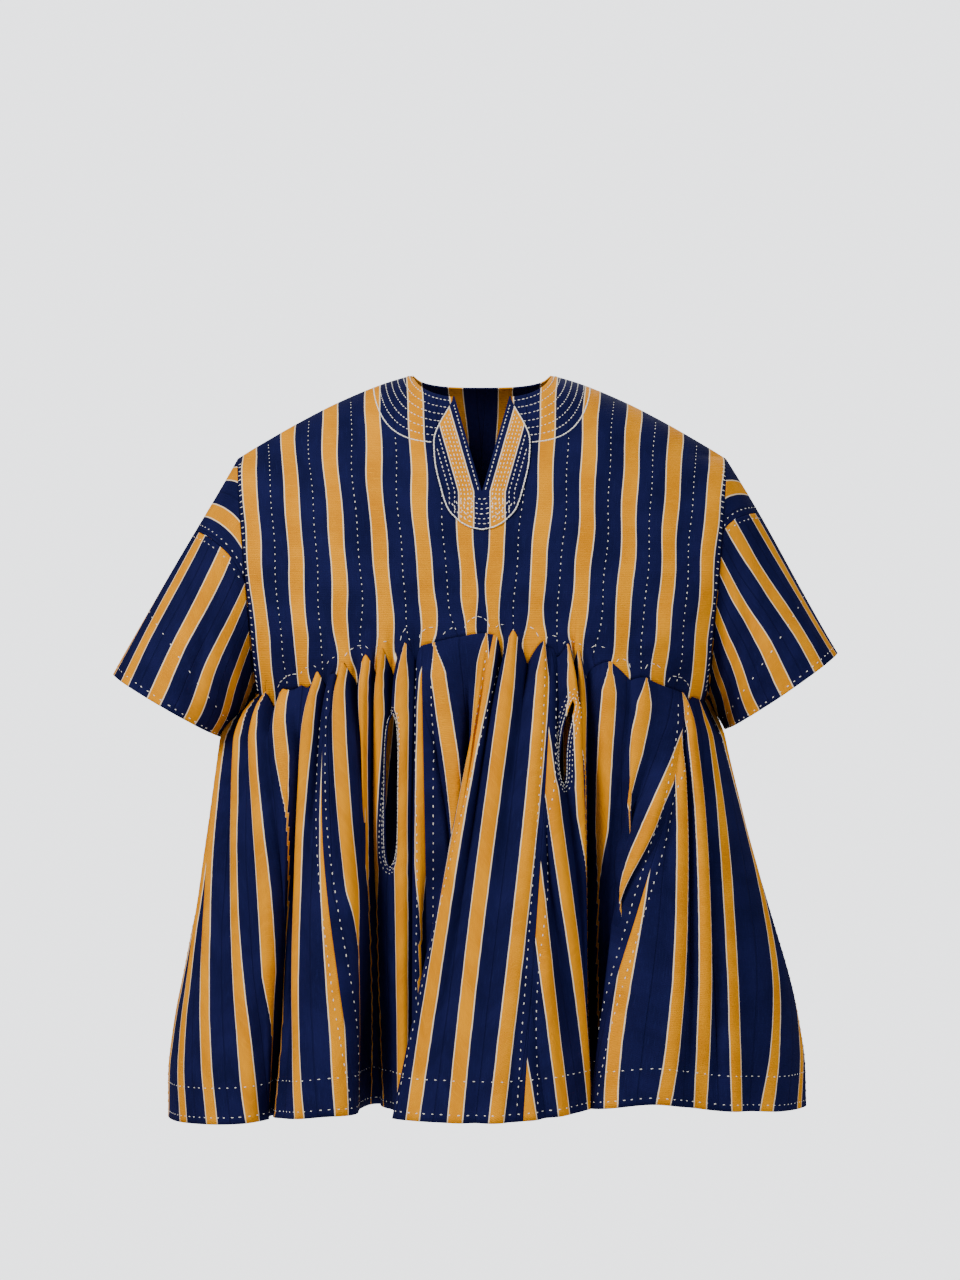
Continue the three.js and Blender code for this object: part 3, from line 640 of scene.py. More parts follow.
    def patch(self, columns, rows, at_column=None):
        """The gore as points and strip places. At_column is the column that a pocket's slit parts."""
        share = np.linspace(0, 1, columns)[None, :] * np.ones((rows, 1))
        down = (np.linspace(0, 1, rows) ** 1.25)[:, None] * np.ones((1, columns))
        if at_column is not None:
            share = self.follow_pocket(share, down, at_column)
        points = self.at(share, down)
        run = run_along_rows(points)
        fall = run_along_rows(points.swapaxes(0, 1)).T
        across = np.stack([self.across(*row) for row in zip(run, self.mark(share, down), down[:, 0])])
        return points, track(across, fall / STRIP + self.wander[3])

    def across(self, run, marks, down):
        """Strips across one row of the cloth. Gold keeps its width, and is a point at the waist seam."""
        rate = run[-1] / (marks[-1] - marks[0])
        lines = self.lines_at(down)
        beyond = np.minimum(0, lines - marks[0]) + np.maximum(0, lines - marks[-1])
        middles = np.maximum.accumulate(np.interp(lines, marks, run) + rate * beyond)
        gaps = np.maximum(np.diff(middles), 1.0)
        room = 0.42 * np.minimum(np.append(gaps, STRIP), np.insert(gaps, 0, STRIP))
        taper = np.clip((down - self.tips) / TIP_LENGTH, 0.08, 1)
        # Below its stop a band narrows away to navy. Inside a deep fold's valley this is painted shade.
        taper = taper * np.clip((self.stops - down) / STOP_LENGTH, 0.004, 1)
        half = np.minimum(EDGE_HALF * STRIP * taper, room)
        places = np.arange(len(lines)) + 0.5
        nodes = track(middles - half, middles + half).ravel()
        values = track(places - EDGE_HALF, places + EDGE_HALF).ravel()
        nodes = np.concatenate([[nodes[0] - 0.4 * STRIP], nodes, [nodes[-1] + 0.4 * STRIP]])
        values = np.concatenate([[values[0] - 0.4], values, [values[-1] + 0.4]])
        return np.interp(run, np.maximum.accumulate(nodes), values)

    def pocket_line(self, z):
        """Where the pocket's slit runs at a height, and half how far it stands open."""
        pocket = self.pocket
        reach = np.clip((z - pocket["bottom"]) / (pocket["top"] - pocket["bottom"]) * 2 - 1, -1, 1)
        return pocket["x"] + pocket["lean"] * reach, pocket["width"] / 2 * rounded(reach**4)

    def follow_pocket(self, share, down, column):
        """Moves one column of places onto the slit's line, and its neighbours with it."""
        points = self.at(share, down)
        here = share[0, column]
        inside = (points[:, column, 2] < self.pocket["top"]) & (points[:, column, 2] > self.pocket["bottom"])
        plain = skirt_at(self.mark(share, down), down)
        found = [np.interp(self.pocket_line(p[column, 2])[0], p[:, 0], s) for p, s in zip(plain, share)]
        rows = np.flatnonzero(inside)
        line = np.interp(np.arange(len(share)), rows, np.array(found)[rows])
        return np.stack([np.interp(s, [0, here, 1], [0, to, 1]) for s, to in zip(share, line)])

    def slit_table(self):
        """By height at the pocket's slit: the share of the way down, and by share the run from the slit."""
        heights = np.linspace(self.pocket["bottom"] - 30, self.pocket["top"] + 30, 60)
        share = np.linspace(0, 1, 400)
        place, downs, runs = 0.5, [], []
        for height in heights:
            column = self.at(np.full(2, place), np.array([0.2, 1.0]))[:, 2]
            down = 0.2 + 0.8 * (height - column[0]) / (column[1] - column[0])
            flat = np.full(400, down)
            place = np.interp(self.pocket_line(height)[0], skirt_at(self.mark(share, flat), flat)[:, 0], share)
            cloth = self.at(share, flat)
            run = run_over(cloth)
            downs.append(down)
            runs.append(run - np.interp(place, share, run))
        return heights, np.array(downs), share, np.array(runs)

    def by_slit(self, distance, z):
        """Points on the gore at a distance over the cloth from the middle of its pocket's open slit."""
        if self.slit is None:
            self.slit = self.slit_table()
        heights, downs, share, runs = self.slit
        step = np.interp(z, heights, np.arange(len(heights)))
        low = np.minimum(step.astype(int), len(heights) - 2)
        beside = [
            lerp(*(np.interp(far, runs[row], share) for row in (i, i + 1)), part - i)
            for far, i, part in zip(distance, low, step)
        ]
        points = self.at(np.array(beside), np.interp(z, heights, downs))
        points[..., 0] += np.sign(distance) * self.pocket_line(z)[1] * np.exp(-((distance / SLIT_EASE) ** 2))
        return points

    def pocket_halves(self, columns, rows):
        """The gore as two patches that part along the pocket's slit."""
        middle = self.at(np.linspace(0, 1, 400), 0.3)
        column = int(np.argmin(np.abs(middle[:, 0] - self.pocket["x"])) / 399 * (columns - 1))
        points, strips = self.patch(columns, rows, column)
        halves = []
        run = run_along_rows(points)
        opening = self.pocket_line(points[:, column, 2])[1][:, None]
        off = run - run[:, column : column + 1]
        for part, side in ((slice(0, column + 1), -1), (slice(column, columns), 1)):
            cloth = points[:, part].copy()
            cloth[..., 0] += side * opening * np.exp(-((off[:, part] / SLIT_EASE) ** 2))
            halves.append((cloth, strips[:, part]))
        return halves


def gore_ring(gores, face):
    """The gores of the front or the back, each with the seam that it shares with the next."""
    last_row = len(FRONT_FOLDS) if face == FRONT else len(DIAL) - 1
    end = {"waist": -face * WAIST["half"], "row": last_row}
    return [Gore(gore, following, face) for gore, following in zip(gores, [*gores[1:], end])]


SEAM_WAVES = {}


def seam_wave(face):
    """How far the gathers stand out and rise along the waist seam, by place along X."""
    if face not in SEAM_WAVES:
        share = np.linspace(0, 1, 200)
        rows = []
        for gore in gore_ring(FRONT_GORES if face == FRONT else BACK_GORES, face):
            flat = np.zeros_like(share)
            out, lean, peak = gore.pleat(share, flat)
            place = skirt_at(gore.mark(share, flat) + lean, flat)[:, 0]
            rows.append(np.stack([place, out, peak], axis=-1))
        table = np.concatenate(rows)
        SEAM_WAVES[face] = table[np.argsort(table[:, 0])].T
    return SEAM_WAVES[face]


# ---- Materials -------------------------------------------------------------


class Shade:
    """A material's socket that takes part in plain Python sums."""

    def __init__(self, recipe, socket):
        self.recipe, self.socket = recipe, socket

    def maths(self, operation, *values):
        return self.recipe.node("ShaderNodeMath", {"operation": operation}, dict(enumerate(values)))

    def __add__(self, other):
        return self.maths("ADD", self, other)

    def __radd__(self, other):
        return self.maths("ADD", other, self)

    def __sub__(self, other):
        return self.maths("SUBTRACT", self, other)

    def __rsub__(self, other):
        return self.maths("SUBTRACT", other, self)

    def __mul__(self, other):
        return self.maths("MULTIPLY", self, other)

    def __rmul__(self, other):
        return self.maths("MULTIPLY", other, self)

    def fraction(self):
        return self.maths("FRACT", self)

    def size(self):
        return self.maths("ABSOLUTE", self)

    def wave(self):
        return self.maths("SINE", self)

    def between(self, low, high):
        """0 below low, 1 above high, and smooth between."""
        sockets = {0: self, 1: low, 2: high, 3: 0.0, 4: 1.0}
        return self.recipe.node("ShaderNodeMapRange", {"interpolation_type": "SMOOTHSTEP"}, sockets)


class Recipe:
    """A material made step by step."""

    def __init__(self, name):
        self.material = bpy.data.materials.new(name)
        self.material.use_nodes = True
        self.tree = self.material.node_tree
        self.shader = self.tree.nodes["Principled BSDF"]

    def node(self, kind, settings=None, sockets=None, output=0):
        made = self.tree.nodes.new(kind)
        for key, value in (settings or {}).items():
            setattr(made, key, value)
        self.feed(made, sockets or {})
        return Shade(self, made.outputs[output])

    def feed(self, made, sockets):
        for key, value in sockets.items():
            if isinstance(value, Shade):
                self.tree.links.new(value.socket, made.inputs[key])
            else:
                made.inputs[key].default_value = value

    def colour_mix(self, factor, first, second, blend="MIX"):
        settings = {"data_type": "RGBA", "blend_type": blend}
        return self.node("ShaderNodeMix", settings, {0: factor, 6: first, 7: second}, output=2)

    def noise(self, place, scale, detail=2.0, rough=0.5):
        sockets = {"Vector": place, "Scale": scale, "Detail": detail, "Roughness": rough}
        return self.node("ShaderNodeTexNoise", {}, sockets)

    def stretch(self, place, scale):
        return self.node("ShaderNodeMapping", {}, {"Vector": place, "Scale": scale})

    def bump(self, height, strength, distance, under=None):
        sockets = {"Height": height, "Strength": strength, "Distance": distance}
        if under:
            sockets["Normal"] = under
        return self.node("ShaderNodeBump", {}, sockets)


NAVY = (0.0080, 0.0086, 0.056, 1)
NAVY_DEEP = (0.0044, 0.0050, 0.034, 1)
NAVY_LIT = (0.013, 0.016, 0.082, 1)
GOLD = (0.85, 0.335, 0.0, 1)
GOLD_DEEP = (0.62, 0.22, 0.0, 1)
GOLD_LIT = (0.88, 0.365, 0.0, 1)
CREAM = (0.86, 0.76, 0.55, 1)
WEFT, WARP = 24, 46  # threads in the length and the width of one strip's width


def strip_cloth(name):
    """Hand-woven strips: gold bands with cream edge threads on indigo."""
    r = Recipe(name)
    strips = r.node("ShaderNodeUVMap", {"uv_map": "strips"})
    wander = r.noise(strips, 1.7, 2.0)
    across = r.node("ShaderNodeSeparateXYZ", {}, {0: strips})
    along = Shade(r, across.socket.node.outputs[1])
    across = across + (wander - 0.5) * 0.022
    off = (across.fraction() - 0.5).size()
    gold = 1 - off.between(GOLD_HALF - 0.006, GOLD_HALF + 0.006)
    banded = 1 - off.between(EDGE_HALF - 0.007, EDGE_HALF + 0.007)
    # The seam between two strips: a groove in the bump, and a dark line of painted shade in the colour.
    seam_groove = off.between(0.478, 0.497)

    weft = (along * (2 * math.pi * WEFT) + (r.noise(strips, 9.0) - 0.5) * 4).wave()
    warp = (across * (2 * math.pi * WARP)).wave()
    slub = r.noise(r.stretch(strips, (3.0, 26.0, 1.0)), 1.0, 3.0, 0.6)
    # Painted sheen: long streaks that run along the strips and lighten the indigo.
    sheen_streaks = r.noise(r.stretch(strips, (44.0, 2.4, 1.0)), 1.0, 2.0, 0.6)
    cloud = r.noise(strips, 0.9, 3.0, 0.55)
    fibre = r.noise(strips, 55.0, 2.0, 0.7)

    gold_tone = r.colour_mix(cloud.between(0.3, 0.72), GOLD_DEEP, GOLD)
    gold_tone = r.colour_mix(slub.between(0.52, 0.8), gold_tone, GOLD_LIT)
    gold_tone = r.colour_mix((weft * -0.5 + 0.5) * 0.5, gold_tone, GOLD_DEEP)
    navy_tone = r.colour_mix(cloud.between(0.25, 0.75), NAVY_DEEP, NAVY)
    # The indigo lightens towards NAVY_LIT along the streaks, as painted sheen.
    navy_tone = r.colour_mix(sheen_streaks.between(0.5, 0.85) * 0.55, navy_tone, NAVY_LIT)
    navy_tone = r.colour_mix((weft * 0.5 + 0.5) * fibre.between(0.4, 0.7) * 0.18, navy_tone, NAVY_LIT)
    edge_tone = r.colour_mix(fibre.between(0.35, 0.7) * 0.35, CREAM, GOLD_LIT)
    colour = r.colour_mix(banded, navy_tone, edge_tone)
    colour = r.colour_mix(gold, colour, gold_tone)
    # Painted shade: the strip seams' grooves darken towards NAVY_DEEP.
    colour = r.colour_mix(seam_groove * 0.6, colour, NAVY_DEEP)

    height = weft * (gold * 0.5 + 0.35) + warp * 0.3 + slub * 0.9 + fibre * 0.5 + banded * 0.5
    weave = r.bump(height, 0.42, 0.00035)
    seam = r.bump(1 - seam_groove, 0.7, 0.0009, weave)
    r.feed(r.shader, {
        "Base Color": colour,
        "Roughness": 0.86 - gold * 0.12 - slub * 0.08,
        "Normal": seam,
        "Specular IOR Level": 0.03,
    })
    return r.material


def sewing_thread(name, tone, shade):
    """Thick cotton thread, with its twist."""
    r = Recipe(name)
    place = r.node("ShaderNodeTexCoord", {}, {}, output=3)
    tint = r.noise(place, 420.0, 2.0)
    twist = r.noise(r.stretch(place, (900.0, 900.0, 300.0)), 1.0, 1.0)
    r.feed(r.shader, {
        "Base Color": r.colour_mix(tint.between(0.3, 0.7), shade, tone),
        "Roughness": 0.7 + tint * 0.2,
        "Normal": r.bump(twist, 0.5, 0.0002),
        "Sheen Weight": 0.1,
    })
    return r.material


def plain_floor():
    r = Recipe("pale_floor")
    place = r.node("ShaderNodeTexCoord", {}, {}, output=3)
    tone = r.colour_mix(r.noise(place, 1.5, 2.0), (0.72, 0.71, 0.73, 1), (0.76, 0.75, 0.77, 1))
    r.feed(r.shader, {"Base Color": tone, "Roughness": 0.9})
    return r.material


# ---- Making pieces ---------------------------------------------------------


def link(name, bm, material):
    mesh = bpy.data.meshes.new(name)
    bm.to_mesh(mesh)
    bm.free()
    mesh.materials.append(material)
    piece = bpy.data.objects.new(name, mesh)
    bpy.context.collection.objects.link(piece)
    return piece


def cloth_piece(name, patches, material, thickness, weld=False):
    """A thin shell of cloth from patches of points, each a grid with rows from top to bottom."""
    bm = bmesh.new()
    layer = bm.loops.layers.uv.new("strips")
    spots = {}
    for points, strips in patches:
        rows, columns = points.shape[:2]
        made = bmesh.ops.create_grid(bm, x_segments=columns - 1, y_segments=rows - 1, size=0.5)["verts"]
        flat_points = (points[::-1].reshape(-1, 3) * MM).tolist()
        flat_strips = strips[::-1].reshape(-1, 2).tolist()
        for vert, point, strip in zip(made, flat_points, flat_strips):
            vert.co = point
            spots[vert] = strip
    for face in bm.faces:
        face.smooth = True
        for loop in face.loops:
            loop[layer].uv = spots[loop.vert]
    if weld:
        bmesh.ops.remove_doubles(bm, verts=bm.verts, dist=0.02 * MM)
    piece = link(name, bm, material)
    wall = piece.modifiers.new("wall", "SOLIDIFY")
    wall.thickness = thickness * MM
    wall.offset = 0
    return piece


THREAD = {"stitch": 3.0, "step": 10.0, "breadth": 1.1, "height": 0.8, "lift": CLOTH / 2 + 0.15}


def row(surface, path, **sizes):
    """A row of sewing: the surface it lies on, its path over it, and its thread's sizes."""
    return {"surface": surface, "path": path, **THREAD, **sizes}


def stitches(name, rows, material):
    """All rows of a piece as one mesh, each stitch a small turned bead."""
    whole = bmesh.new()
    for row in rows:
        bm = bmesh.new()
        path = np.asarray(row["path"], float)
        surface = row["surface"]
        points = surface(path[:, 0], path[:, 1])
        run = run_over(points)
        count = max(1, int(run[-1] / row["step"]))
        centres = (np.arange(count) + 0.5) * run[-1] / count
        draw = random.Random(f"{name}{count}{run[-1]:.1f}")
        centres = centres + np.array([draw.uniform(-0.1, 0.1) * row["step"] for _ in centres])
        behind, (a, b), ahead = [
            (np.interp(centres + shift, run, path[:, 0]), np.interp(centres + shift, run, path[:, 1]))
            for shift in (-1.0, 0.0, 1.0)
        ]
        here = surface(a, b)
        tangent = unit(surface(*ahead) - surface(*behind))
        step_a, step_b = row.get("probe", (0.5, 0.5))
        along_a = surface(a + step_a, b) - surface(a - step_a, b)
        along_b = surface(a, b + step_b) - surface(a, b - step_b)
        out = unit(np.cross(along_a, along_b)) * row.get("flip", 1)
        across = unit(np.cross(out, tangent))
        half = np.array([row["stitch"], row["breadth"], row["height"]]) / 2
        if row.get("whip"):
            tangent, across = across, -tangent
        for spot, along, side, up in zip(here, tangent, across, out):
            skew = draw.uniform(-0.15, 0.15)
            along, side = (along + side * skew) * draw.uniform(0.75, 1.2), side - along * skew
            centre = spot + up * row["lift"]
            axes = np.column_stack([along * half[0], side * half[1], up * half[2], centre])
            place = Matrix.Scale(MM, 4) @ Matrix([*axes.tolist(), [0, 0, 0, 1]])
            turned = place @ Matrix.Rotation(math.pi / 2, 4, "Y")
            bmesh.ops.create_uvsphere(bm, u_segments=6, v_segments=4, radius=1.0, matrix=turned)
        for face in bm.faces:
            face.smooth = True
        run_of_stitches = bpy.data.meshes.new("row")
        bm.to_mesh(run_of_stitches)
        bm.free()
        whole.from_mesh(run_of_stitches)
        bpy.data.meshes.remove(run_of_stitches)
    return link(name, whole, material)


FINE = 1.0


def grain(count):
    return max(8, int(round(count * FINE)))


indigo_strips = strip_cloth("indigo_and_gold_strips")
placket_strips = strip_cloth("placket_strips")
cream_thread = sewing_thread("cream_thread", (0.92, 0.90, 0.82, 1), (0.74, 0.70, 0.60, 1))


def stand_in(piece, node):
    """The piece rides the one body and takes its solid's place."""
    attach(piece, "root")
    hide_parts(node)
    return piece


# ---- The yoke --------------------------------------------------------------
yoke = {}
for face, node in ((FRONT, "yoke_front"), (BACK, "yoke_back")):
    order = (-1, 1) if face == FRONT else (1, -1)
    halves = [yoke_patch(face, side, grain(84), grain(110)) for side in order]
    yoke[face] = stand_in(cloth_piece(f"cloth_{node}", halves, indigo_strips, CLOTH, weld=True), node)

# ---- Arms ------------------------------------------------------------------
arms = {}
for name in SLEEVES:
    tube_patch, crescent = sleeve_patch(name, grain(170), grain(70)), cap_patch(name, grain(110), grain(26))
    tube = cloth_piece(f"cloth_sleeve_{name}", [tube_patch], indigo_strips, CLOTH, weld=True)
    cap = cloth_piece(f"cloth_shoulder_cap_{name}", [crescent], indigo_strips, CLOTH)
    arms[name] = stand_in(tube, f"sleeve_{name}"), stand_in(cap, f"shoulder_cap_{name}")

# ---- Skirt -----------------------------------------------------------------
gores = [*gore_ring(FRONT_GORES, FRONT), *gore_ring(BACK_GORES, BACK)]
skirt = {}
for gore in gores:
    columns, rows = grain(len(gore.lines) * 18 + 22), grain(91)
    patches = gore.pocket_halves(columns, rows) if gore.pocket else [gore.patch(columns, rows)]
    piece = cloth_piece(f"cloth_{gore.node}", patches, indigo_strips, CLOTH, weld=True)
    skirt[gore.node] = stand_in(piece, gore.node)

# ---- Placket ---------------------------------------------------------------
PLACKET_LIFT = CLOTH / 2 + LAYER_GAP + PLACKET_CLOTH / 2
PLACKET_GOLD = 16.5  # from the slit's edge to the gold band's middle


def lifted_yoke(x, z, lift, face=FRONT):
    here = yoke_at(x, z, face)
    right = yoke_at(x + 0.5, z, face) - yoke_at(x - 0.5, z, face)
    up = yoke_at(x, z + 0.5, face) - yoke_at(x, z - 0.5, face)
    return here + unit(np.cross(right, up)) * -face * lift


def placket_patch(side, columns, rows):
    """Half of the placket, from the slit's edge out."""
    z = lerp(NECK_FRONT + 0.6, PLACKET_HALF[0][0], np.linspace(0, 1, rows))[:, None] * np.ones((1, columns))
    width = np.maximum(gentle(PLACKET_HALF, z) - slit_half(z), 0.2)
    distance = width * np.linspace(0, 1, columns)[None, :]
    x = side * (slit_half(z) + distance)
    strips = track(0.5 + (distance - PLACKET_GOLD) / STRIP, -z / STRIP)
    points = lifted_yoke(x, z, PLACKET_LIFT)
    return (points[:, ::-1], strips[:, ::-1]) if side < 0 else (points, strips)


halves = [placket_patch(side, grain(30), grain(90)) for side in (-1, 1)]
placket = cloth_piece("cloth_neck_placket", halves, placket_strips, PLACKET_CLOTH, weld=True)
stand_in(placket, "neck_placket")

# ---- Sewing ----------------------------------------------------------------


# Rows of sewing in mm: from the placket's slit outward, from a gore's seam, and round a pocket's slit as
# distance, stitch and step. Rows by share of the way down a gore or a sleeve have their step beside them.
PLACKET_ROWS = (3.2, 11.2, 14.6, 18.2, 21.8, 28.5, 34.0)
GORE_INSET = 7.5
POCKET_RINGS = ((1.6, 3.4, 3.8), (5.2, 2.6, 4.6), (9.5, 2.2, 5.6))
HEM_ROWS = ((0.984, 9.0), (0.915, 9.6))
SLEEVE_ROWS = ((0.965, 9.0), (0.70, 17.0))
CAP_INSETS = (0.026, -0.03)
TACKINGS = {"count": 17, "first": -205, "step": 25.5}


def line(start, end, count=160):
    return lerp(np.array(start), np.array(end), np.linspace(0, 1, count)[:, None])


def on_yoke(face, lift=0.0):
    return lambda x, z: lifted_yoke(x, z, lift, face) if lift else yoke_at(x, z, face)


def strip_seam_rows(face):
    """Dotted rows down the middle of every indigo band of the yoke, from the collar to the waist."""
    rows = []
    for side in (-1, 1):
        for band in range(1, 6):
            z = np.linspace(-1, -345, 240)
            x = np.full_like(z, 50.0 * band)
            for _ in range(6):
                x = x - (yoke_strips(side * x, z, face)[:, 0] - band) * YOKE_PITCH
            keep = (z < ridge(x) - 6) & (z > waist_z(x, face) + 5) & (x < edge_half(z) - 4)
            collar_drop = COLLAR[face] * rounded(np.minimum(1, x / COLLAR["half"]) ** 5)
            keep &= (x >= COLLAR["half"]) | (z <= SHOULDER["top"] - collar_drop - 3)
            if keep.sum() > 5:
                path = track(side * x[keep], z[keep])
                rows.append(row(on_yoke(face), path, stitch=2.1, step=7.2, breadth=1.0, flip=-face))
    return rows


def neck_arch(half, drop, power):
    """A line that runs round the neck, from one shoulder down and up to the other."""
    angle = np.linspace(-math.pi / 2, math.pi / 2, 200)
    across = half * np.sign(angle) * np.abs(np.sin(angle)) ** power
    return track(across, SHOULDER["top"] - drop * np.abs(np.cos(angle)))


def collar_rows(face):
    """Rows that follow the round neck, and a cord round them."""
    rows = []
    near = neck_arch(NECK["half"], NECK["front_drop"] if face == FRONT else NECK["back_drop"], 2 / 3)
    far = neck_arch(COLLAR["half"], COLLAR[face], 0.4)
    plain = {"stitch": 3.0, "step": 4.6}
    cord = {"stitch": 4.4, "step": 3.4, "breadth": 1.5, "height": 1.1}
    for number, sizes in enumerate([plain] * COLLAR["rows"] + [cord]):
        path = lerp(near, far, (number + 0.6) / (COLLAR["rows"] + 0.6))
        path[:, 1] = np.minimum(path[:, 1], ridge(path[:, 0]) - 1.2)
        parts = [path]
        if face == FRONT:  # the placket parts each row
            past = path[:, 0] / (straight(PLACKET_HALF, path[:, 1]) + 1.0)
            parts = [path[past < -1], path[past > 1]]
        rows += [row(on_yoke(face), part, flip=-face, **sizes) for part in parts if len(part) > 4]
    return rows


def placket_rows():
    """Rows beside the slit, round its foot, and the cord on the placket's edge."""
    rows = []
    lay = on_yoke(FRONT, PLACKET_LIFT)
    top = NECK_FRONT - 5
    lift = PLACKET_CLOTH / 2 + 0.15
    slit_foot = NECK["slit_bottom"]
    for side in (-1, 1):
        for distance in PLACKET_ROWS:
            z = np.linspace(top, -160, 160)
            x = slit_half(z) + distance
            keep = x < gentle(PLACKET_HALF, z) - 3.5
            if distance < 24:
                keep &= z > (-158 if distance > 4 else -127)
            path = track(side * x, z)[keep]
            rows.append(row(lay, path, stitch=2.8, step=4.8, lift=lift))
    for number in range(6):
        share = (number + 1) / 6.6
        angle = np.linspace(-1.35, 1.35, 50)
        half, foot = lerp(6, 35, share), lerp(-131, -165, share)
        ends = foot - 0.8 * (foot - slit_foot)
        path = track(half * np.sin(angle), lerp(ends, foot, np.cos(angle) ** 1.2))
        rows.append(row(lay, path, stitch=3.0, step=5.0, lift=lift))
    z = np.linspace(top - 6, -167.6, 220)
    edge = [track(side * (gentle(PLACKET_HALF, z) - 0.6), z) for side in (-1, 1)]
    outline = np.concatenate([edge[0], edge[1][::-1]])
    rows.append(row(lay, outline, stitch=4.4, step=3.3, breadth=1.6, height=1.2, lift=lift))
    return rows


def gore_rows(gore):
    """Dotted rows on both sides of a gore's seams, and two along its hem."""
    sizes = {"stitch": 2.8, "probe": (0.002, 0.002), "flip": -1}
    down = np.linspace(0.03, 0.975, 140)
    widths = np.linalg.norm(gore.at(0.98, down) - gore.at(1.0, down), axis=1) / 0.02
    inset = GORE_INSET / np.maximum(widths, 60)
    rows = [row(gore.at, track(share, down), step=9.4, **sizes) for share in (inset, 1 - inset)]
    for hem, step in HEM_ROWS:
        rows.append(row(gore.at, line((0.004, hem), (0.996, hem)), step=step, **sizes))
    return rows + (slit_rows(gore) if gore.pocket else [])


def slit_rows(gore):
    """Rings of sewing round a pocket's slit, close on its edge and wider out."""
    top, bottom = gore.pocket["top"], gore.pocket["bottom"]
    z = np.linspace(bottom, top, 70)
    angle = np.linspace(0, math.pi, 20)
    rows = []
    for distance, stitch, step in POCKET_RINGS:
        off, rise = distance * np.cos(angle), distance * np.sin(angle) * 0.9
        over, under = track(off, top + rise), track(-off, bottom - rise)
        up, back = [track(np.full(70, side * distance), z[::side]) for side in (1, -1)]
        ring = np.concatenate([up, over[1:-1], back, under[1:-1]])
        rows.append(row(gore.by_slit, ring, stitch=stitch, step=step, breadth=0.9, height=0.7))
    return rows


def tacking_rows():
    """Loose tacking left along the yoke's waist seam: little arcs above it and single threads."""
    draw = random.Random("tacking")
    rows = []
    for number in range(TACKINGS["count"]):
        x = TACKINGS["first"] + number * TACKINGS["step"] + draw.uniform(-5, 5)
        width, rise = draw.uniform(14, 26), draw.uniform(5, 13)
        turn = np.linspace(0, math.pi, 30)
        path_x = x - width / 2 * np.cos(turn)
        z = waist_z(path_x, FRONT) + 4 + draw.uniform(0, 7) + rise * np.sin(turn)
        path = track(path_x, z)[: draw.choice((16, 22, 30))]
        stitch, step = draw.uniform(3.5, 6), draw.uniform(6, 8.5)
        rows.append(row(on_yoke(FRONT), path, stitch=stitch, step=step, breadth=0.75, height=0.7))
    return rows


def armhole_rows(face):
    """Whip stitches over the yoke's edge at each armhole."""
    z = np.linspace(-94, -338, 120)
    paths = [track(side * (edge_half(z) - 2.6), z) for side in (-1, 1)]
    return [row(on_yoke(face), path, stitch=4.2, step=7.5, flip=-face, whip=True) for path in paths]


def yoke_rows(face):
    tacking = tacking_rows() if face == FRONT else []
    return strip_seam_rows(face) + collar_rows(face) + tacking + armhole_rows(face)


def arm_rows(name):
    """Rows round the cuff and the upper arm, and one on each side of the cap's seam."""
    sleeve = SLEEVES[name]
    sizes = {"probe": (0.01, 0.004), "flip": sleeve["side"]}

    def surface(angle, along):
        return sleeve_at(sleeve, angle, along)

    rows = []
    for along, step in SLEEVE_ROWS:
        path = line((-math.pi, along), (math.pi, along))
        rows.append(row(surface, path, stitch=2.8, step=step, **sizes))
    angle = np.linspace(-0.97, 0.97, 120) * sleeve["reach"]
    for offset in CAP_INSETS:
        path = track(angle, np.maximum(cap_end(sleeve, angle) + offset, 0.01))
        rows.append(row(surface, path, stitch=2.6, step=9.0, **sizes))
    return rows


seams = {
    "stitching_yoke_front": (yoke_rows(FRONT), yoke[FRONT]),
    "stitching_yoke_back": (yoke_rows(BACK), yoke[BACK]),
    "stitching_placket": (placket_rows(), placket),
    **{f"stitching_{g.node}": (gore_rows(g), skirt[g.node]) for g in gores},
    **{f"stitching_sleeve_{name}": (arm_rows(name), arms[name][0]) for name in SLEEVES},
}
for name, (rows, cloth) in seams.items():
    piece = stitches(name, rows, cream_thread)
    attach(piece, "root")
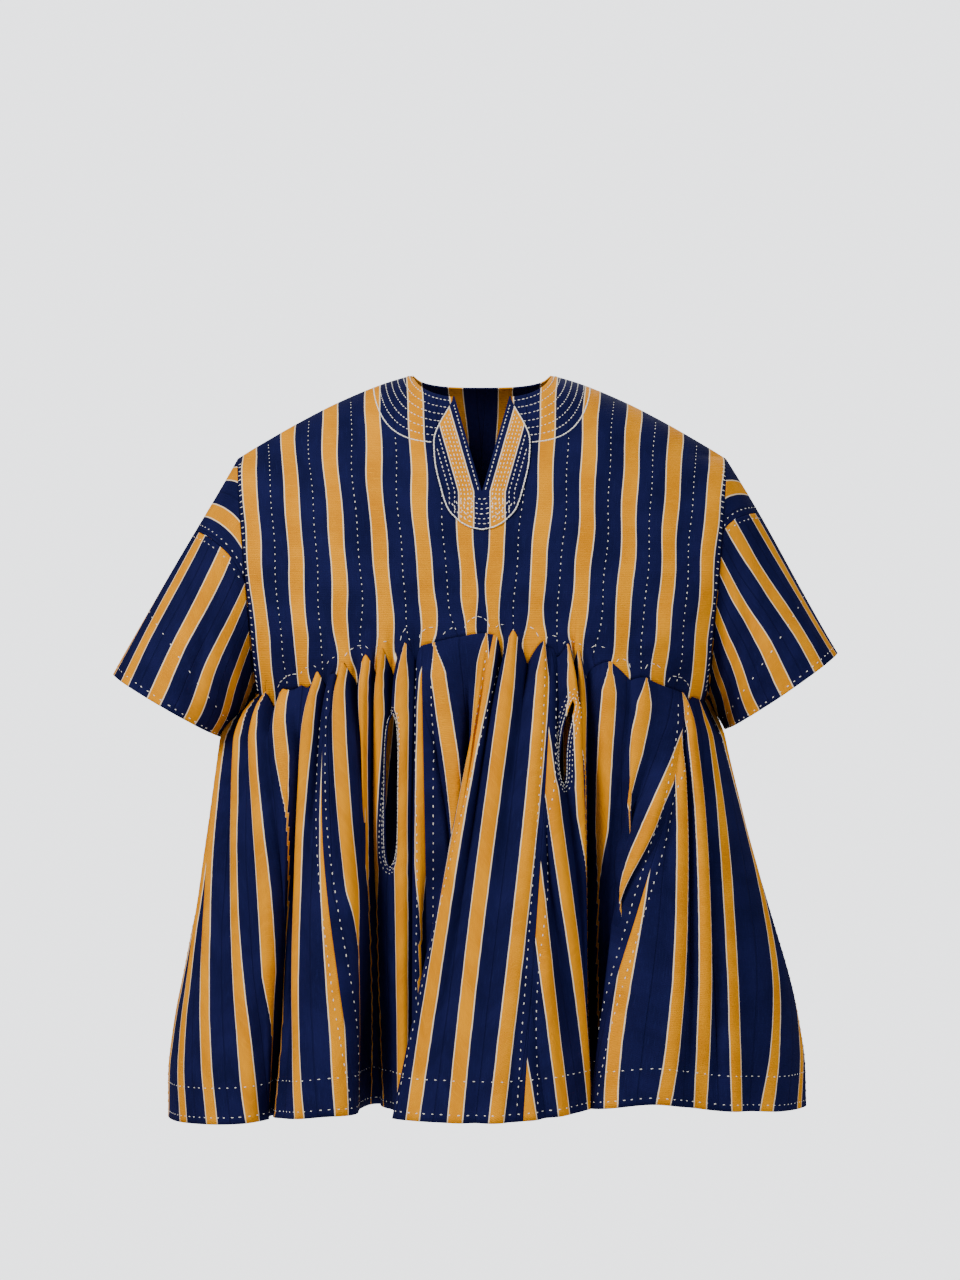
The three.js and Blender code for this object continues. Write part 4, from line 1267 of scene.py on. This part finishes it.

# ---- What each gore was cut to ---------------------------------------------


def gore_cut(gore):
    points = gore.patch(240, 60)[0]
    widths = np.linalg.norm(np.diff(points, axis=1), axis=2).sum(axis=1)
    lengths = np.linalg.norm(np.diff(points, axis=0), axis=2).sum(axis=0)
    diagonals = points[1:, 1:] - points[:-1, :-1], points[1:, :-1] - points[:-1, 1:]
    area = sum(0.5 * np.linalg.norm(np.cross(*diagonals), axis=2).ravel())
    return float(widths.max()), float(lengths.max()), float(area)


for gore in gores:
    width, length, area = gore_cut(gore)
    print(f"cut {gore.node}: {width:.0f} x {length:.0f} mm, {area * 1e-6:.3f} m2")
    yoke[FRONT if "front" in gore.node else BACK]

# ---- Stage -----------------------------------------------------------------
camera_data = bpy.data.cameras.new("camera")
camera_data.lens = VIEW["lens"]
camera_data.sensor_width = 36
camera_data.clip_end = 50
camera = bpy.data.objects.new("camera", camera_data)
camera.location = (VIEW["x"] * MM, -VIEW["distance"] * MM, VIEW["z"] * MM)
camera.rotation_euler = (math.pi / 2, 0, 0)
bpy.context.collection.objects.link(camera)
bpy.context.scene.camera = camera

bm = bmesh.new()
lay = Matrix.Translation((0, 0, FLOOR["z"] * MM))
bmesh.ops.create_circle(bm, cap_ends=True, segments=96, radius=FLOOR["radius"] * MM, matrix=lay)
floor = link("floor", bm, plain_floor())

for lamp in LAMPS:
    data = bpy.data.lights.new(lamp["name"], "AREA")
    data.size = lamp["size"]
    data.energy = lamp["power"]
    data.color = lamp["tint"]
    light = bpy.data.objects.new(lamp["name"], data)
    light.location = lamp["at"]
    aim = Vector((0, 0, -0.35)) - Vector(lamp["at"])
    light.rotation_euler = aim.to_track_quat("-Z", "Y").to_euler()
    bpy.context.collection.objects.link(light)

world = bpy.data.worlds.new("studio")
world.use_nodes = True
room = world.node_tree
room.nodes["Background"].inputs["Color"].default_value = ROOM["tint"]
room.nodes["Background"].inputs["Strength"].default_value = ROOM["light"]
paper = room.nodes.new("ShaderNodeBackground")
paper.inputs["Strength"].default_value = ROOM["seen"]
paper.inputs["Color"].default_value = ROOM["tint"]
seen = room.nodes.new("ShaderNodeLightPath")
either = room.nodes.new("ShaderNodeMixShader")
room.links.new(seen.outputs["Is Camera Ray"], either.inputs[0])
room.links.new(room.nodes["Background"].outputs[0], either.inputs[1])
room.links.new(paper.outputs[0], either.inputs[2])
room.links.new(either.outputs[0], room.nodes["World Output"].inputs[0])
bpy.context.scene.world = world
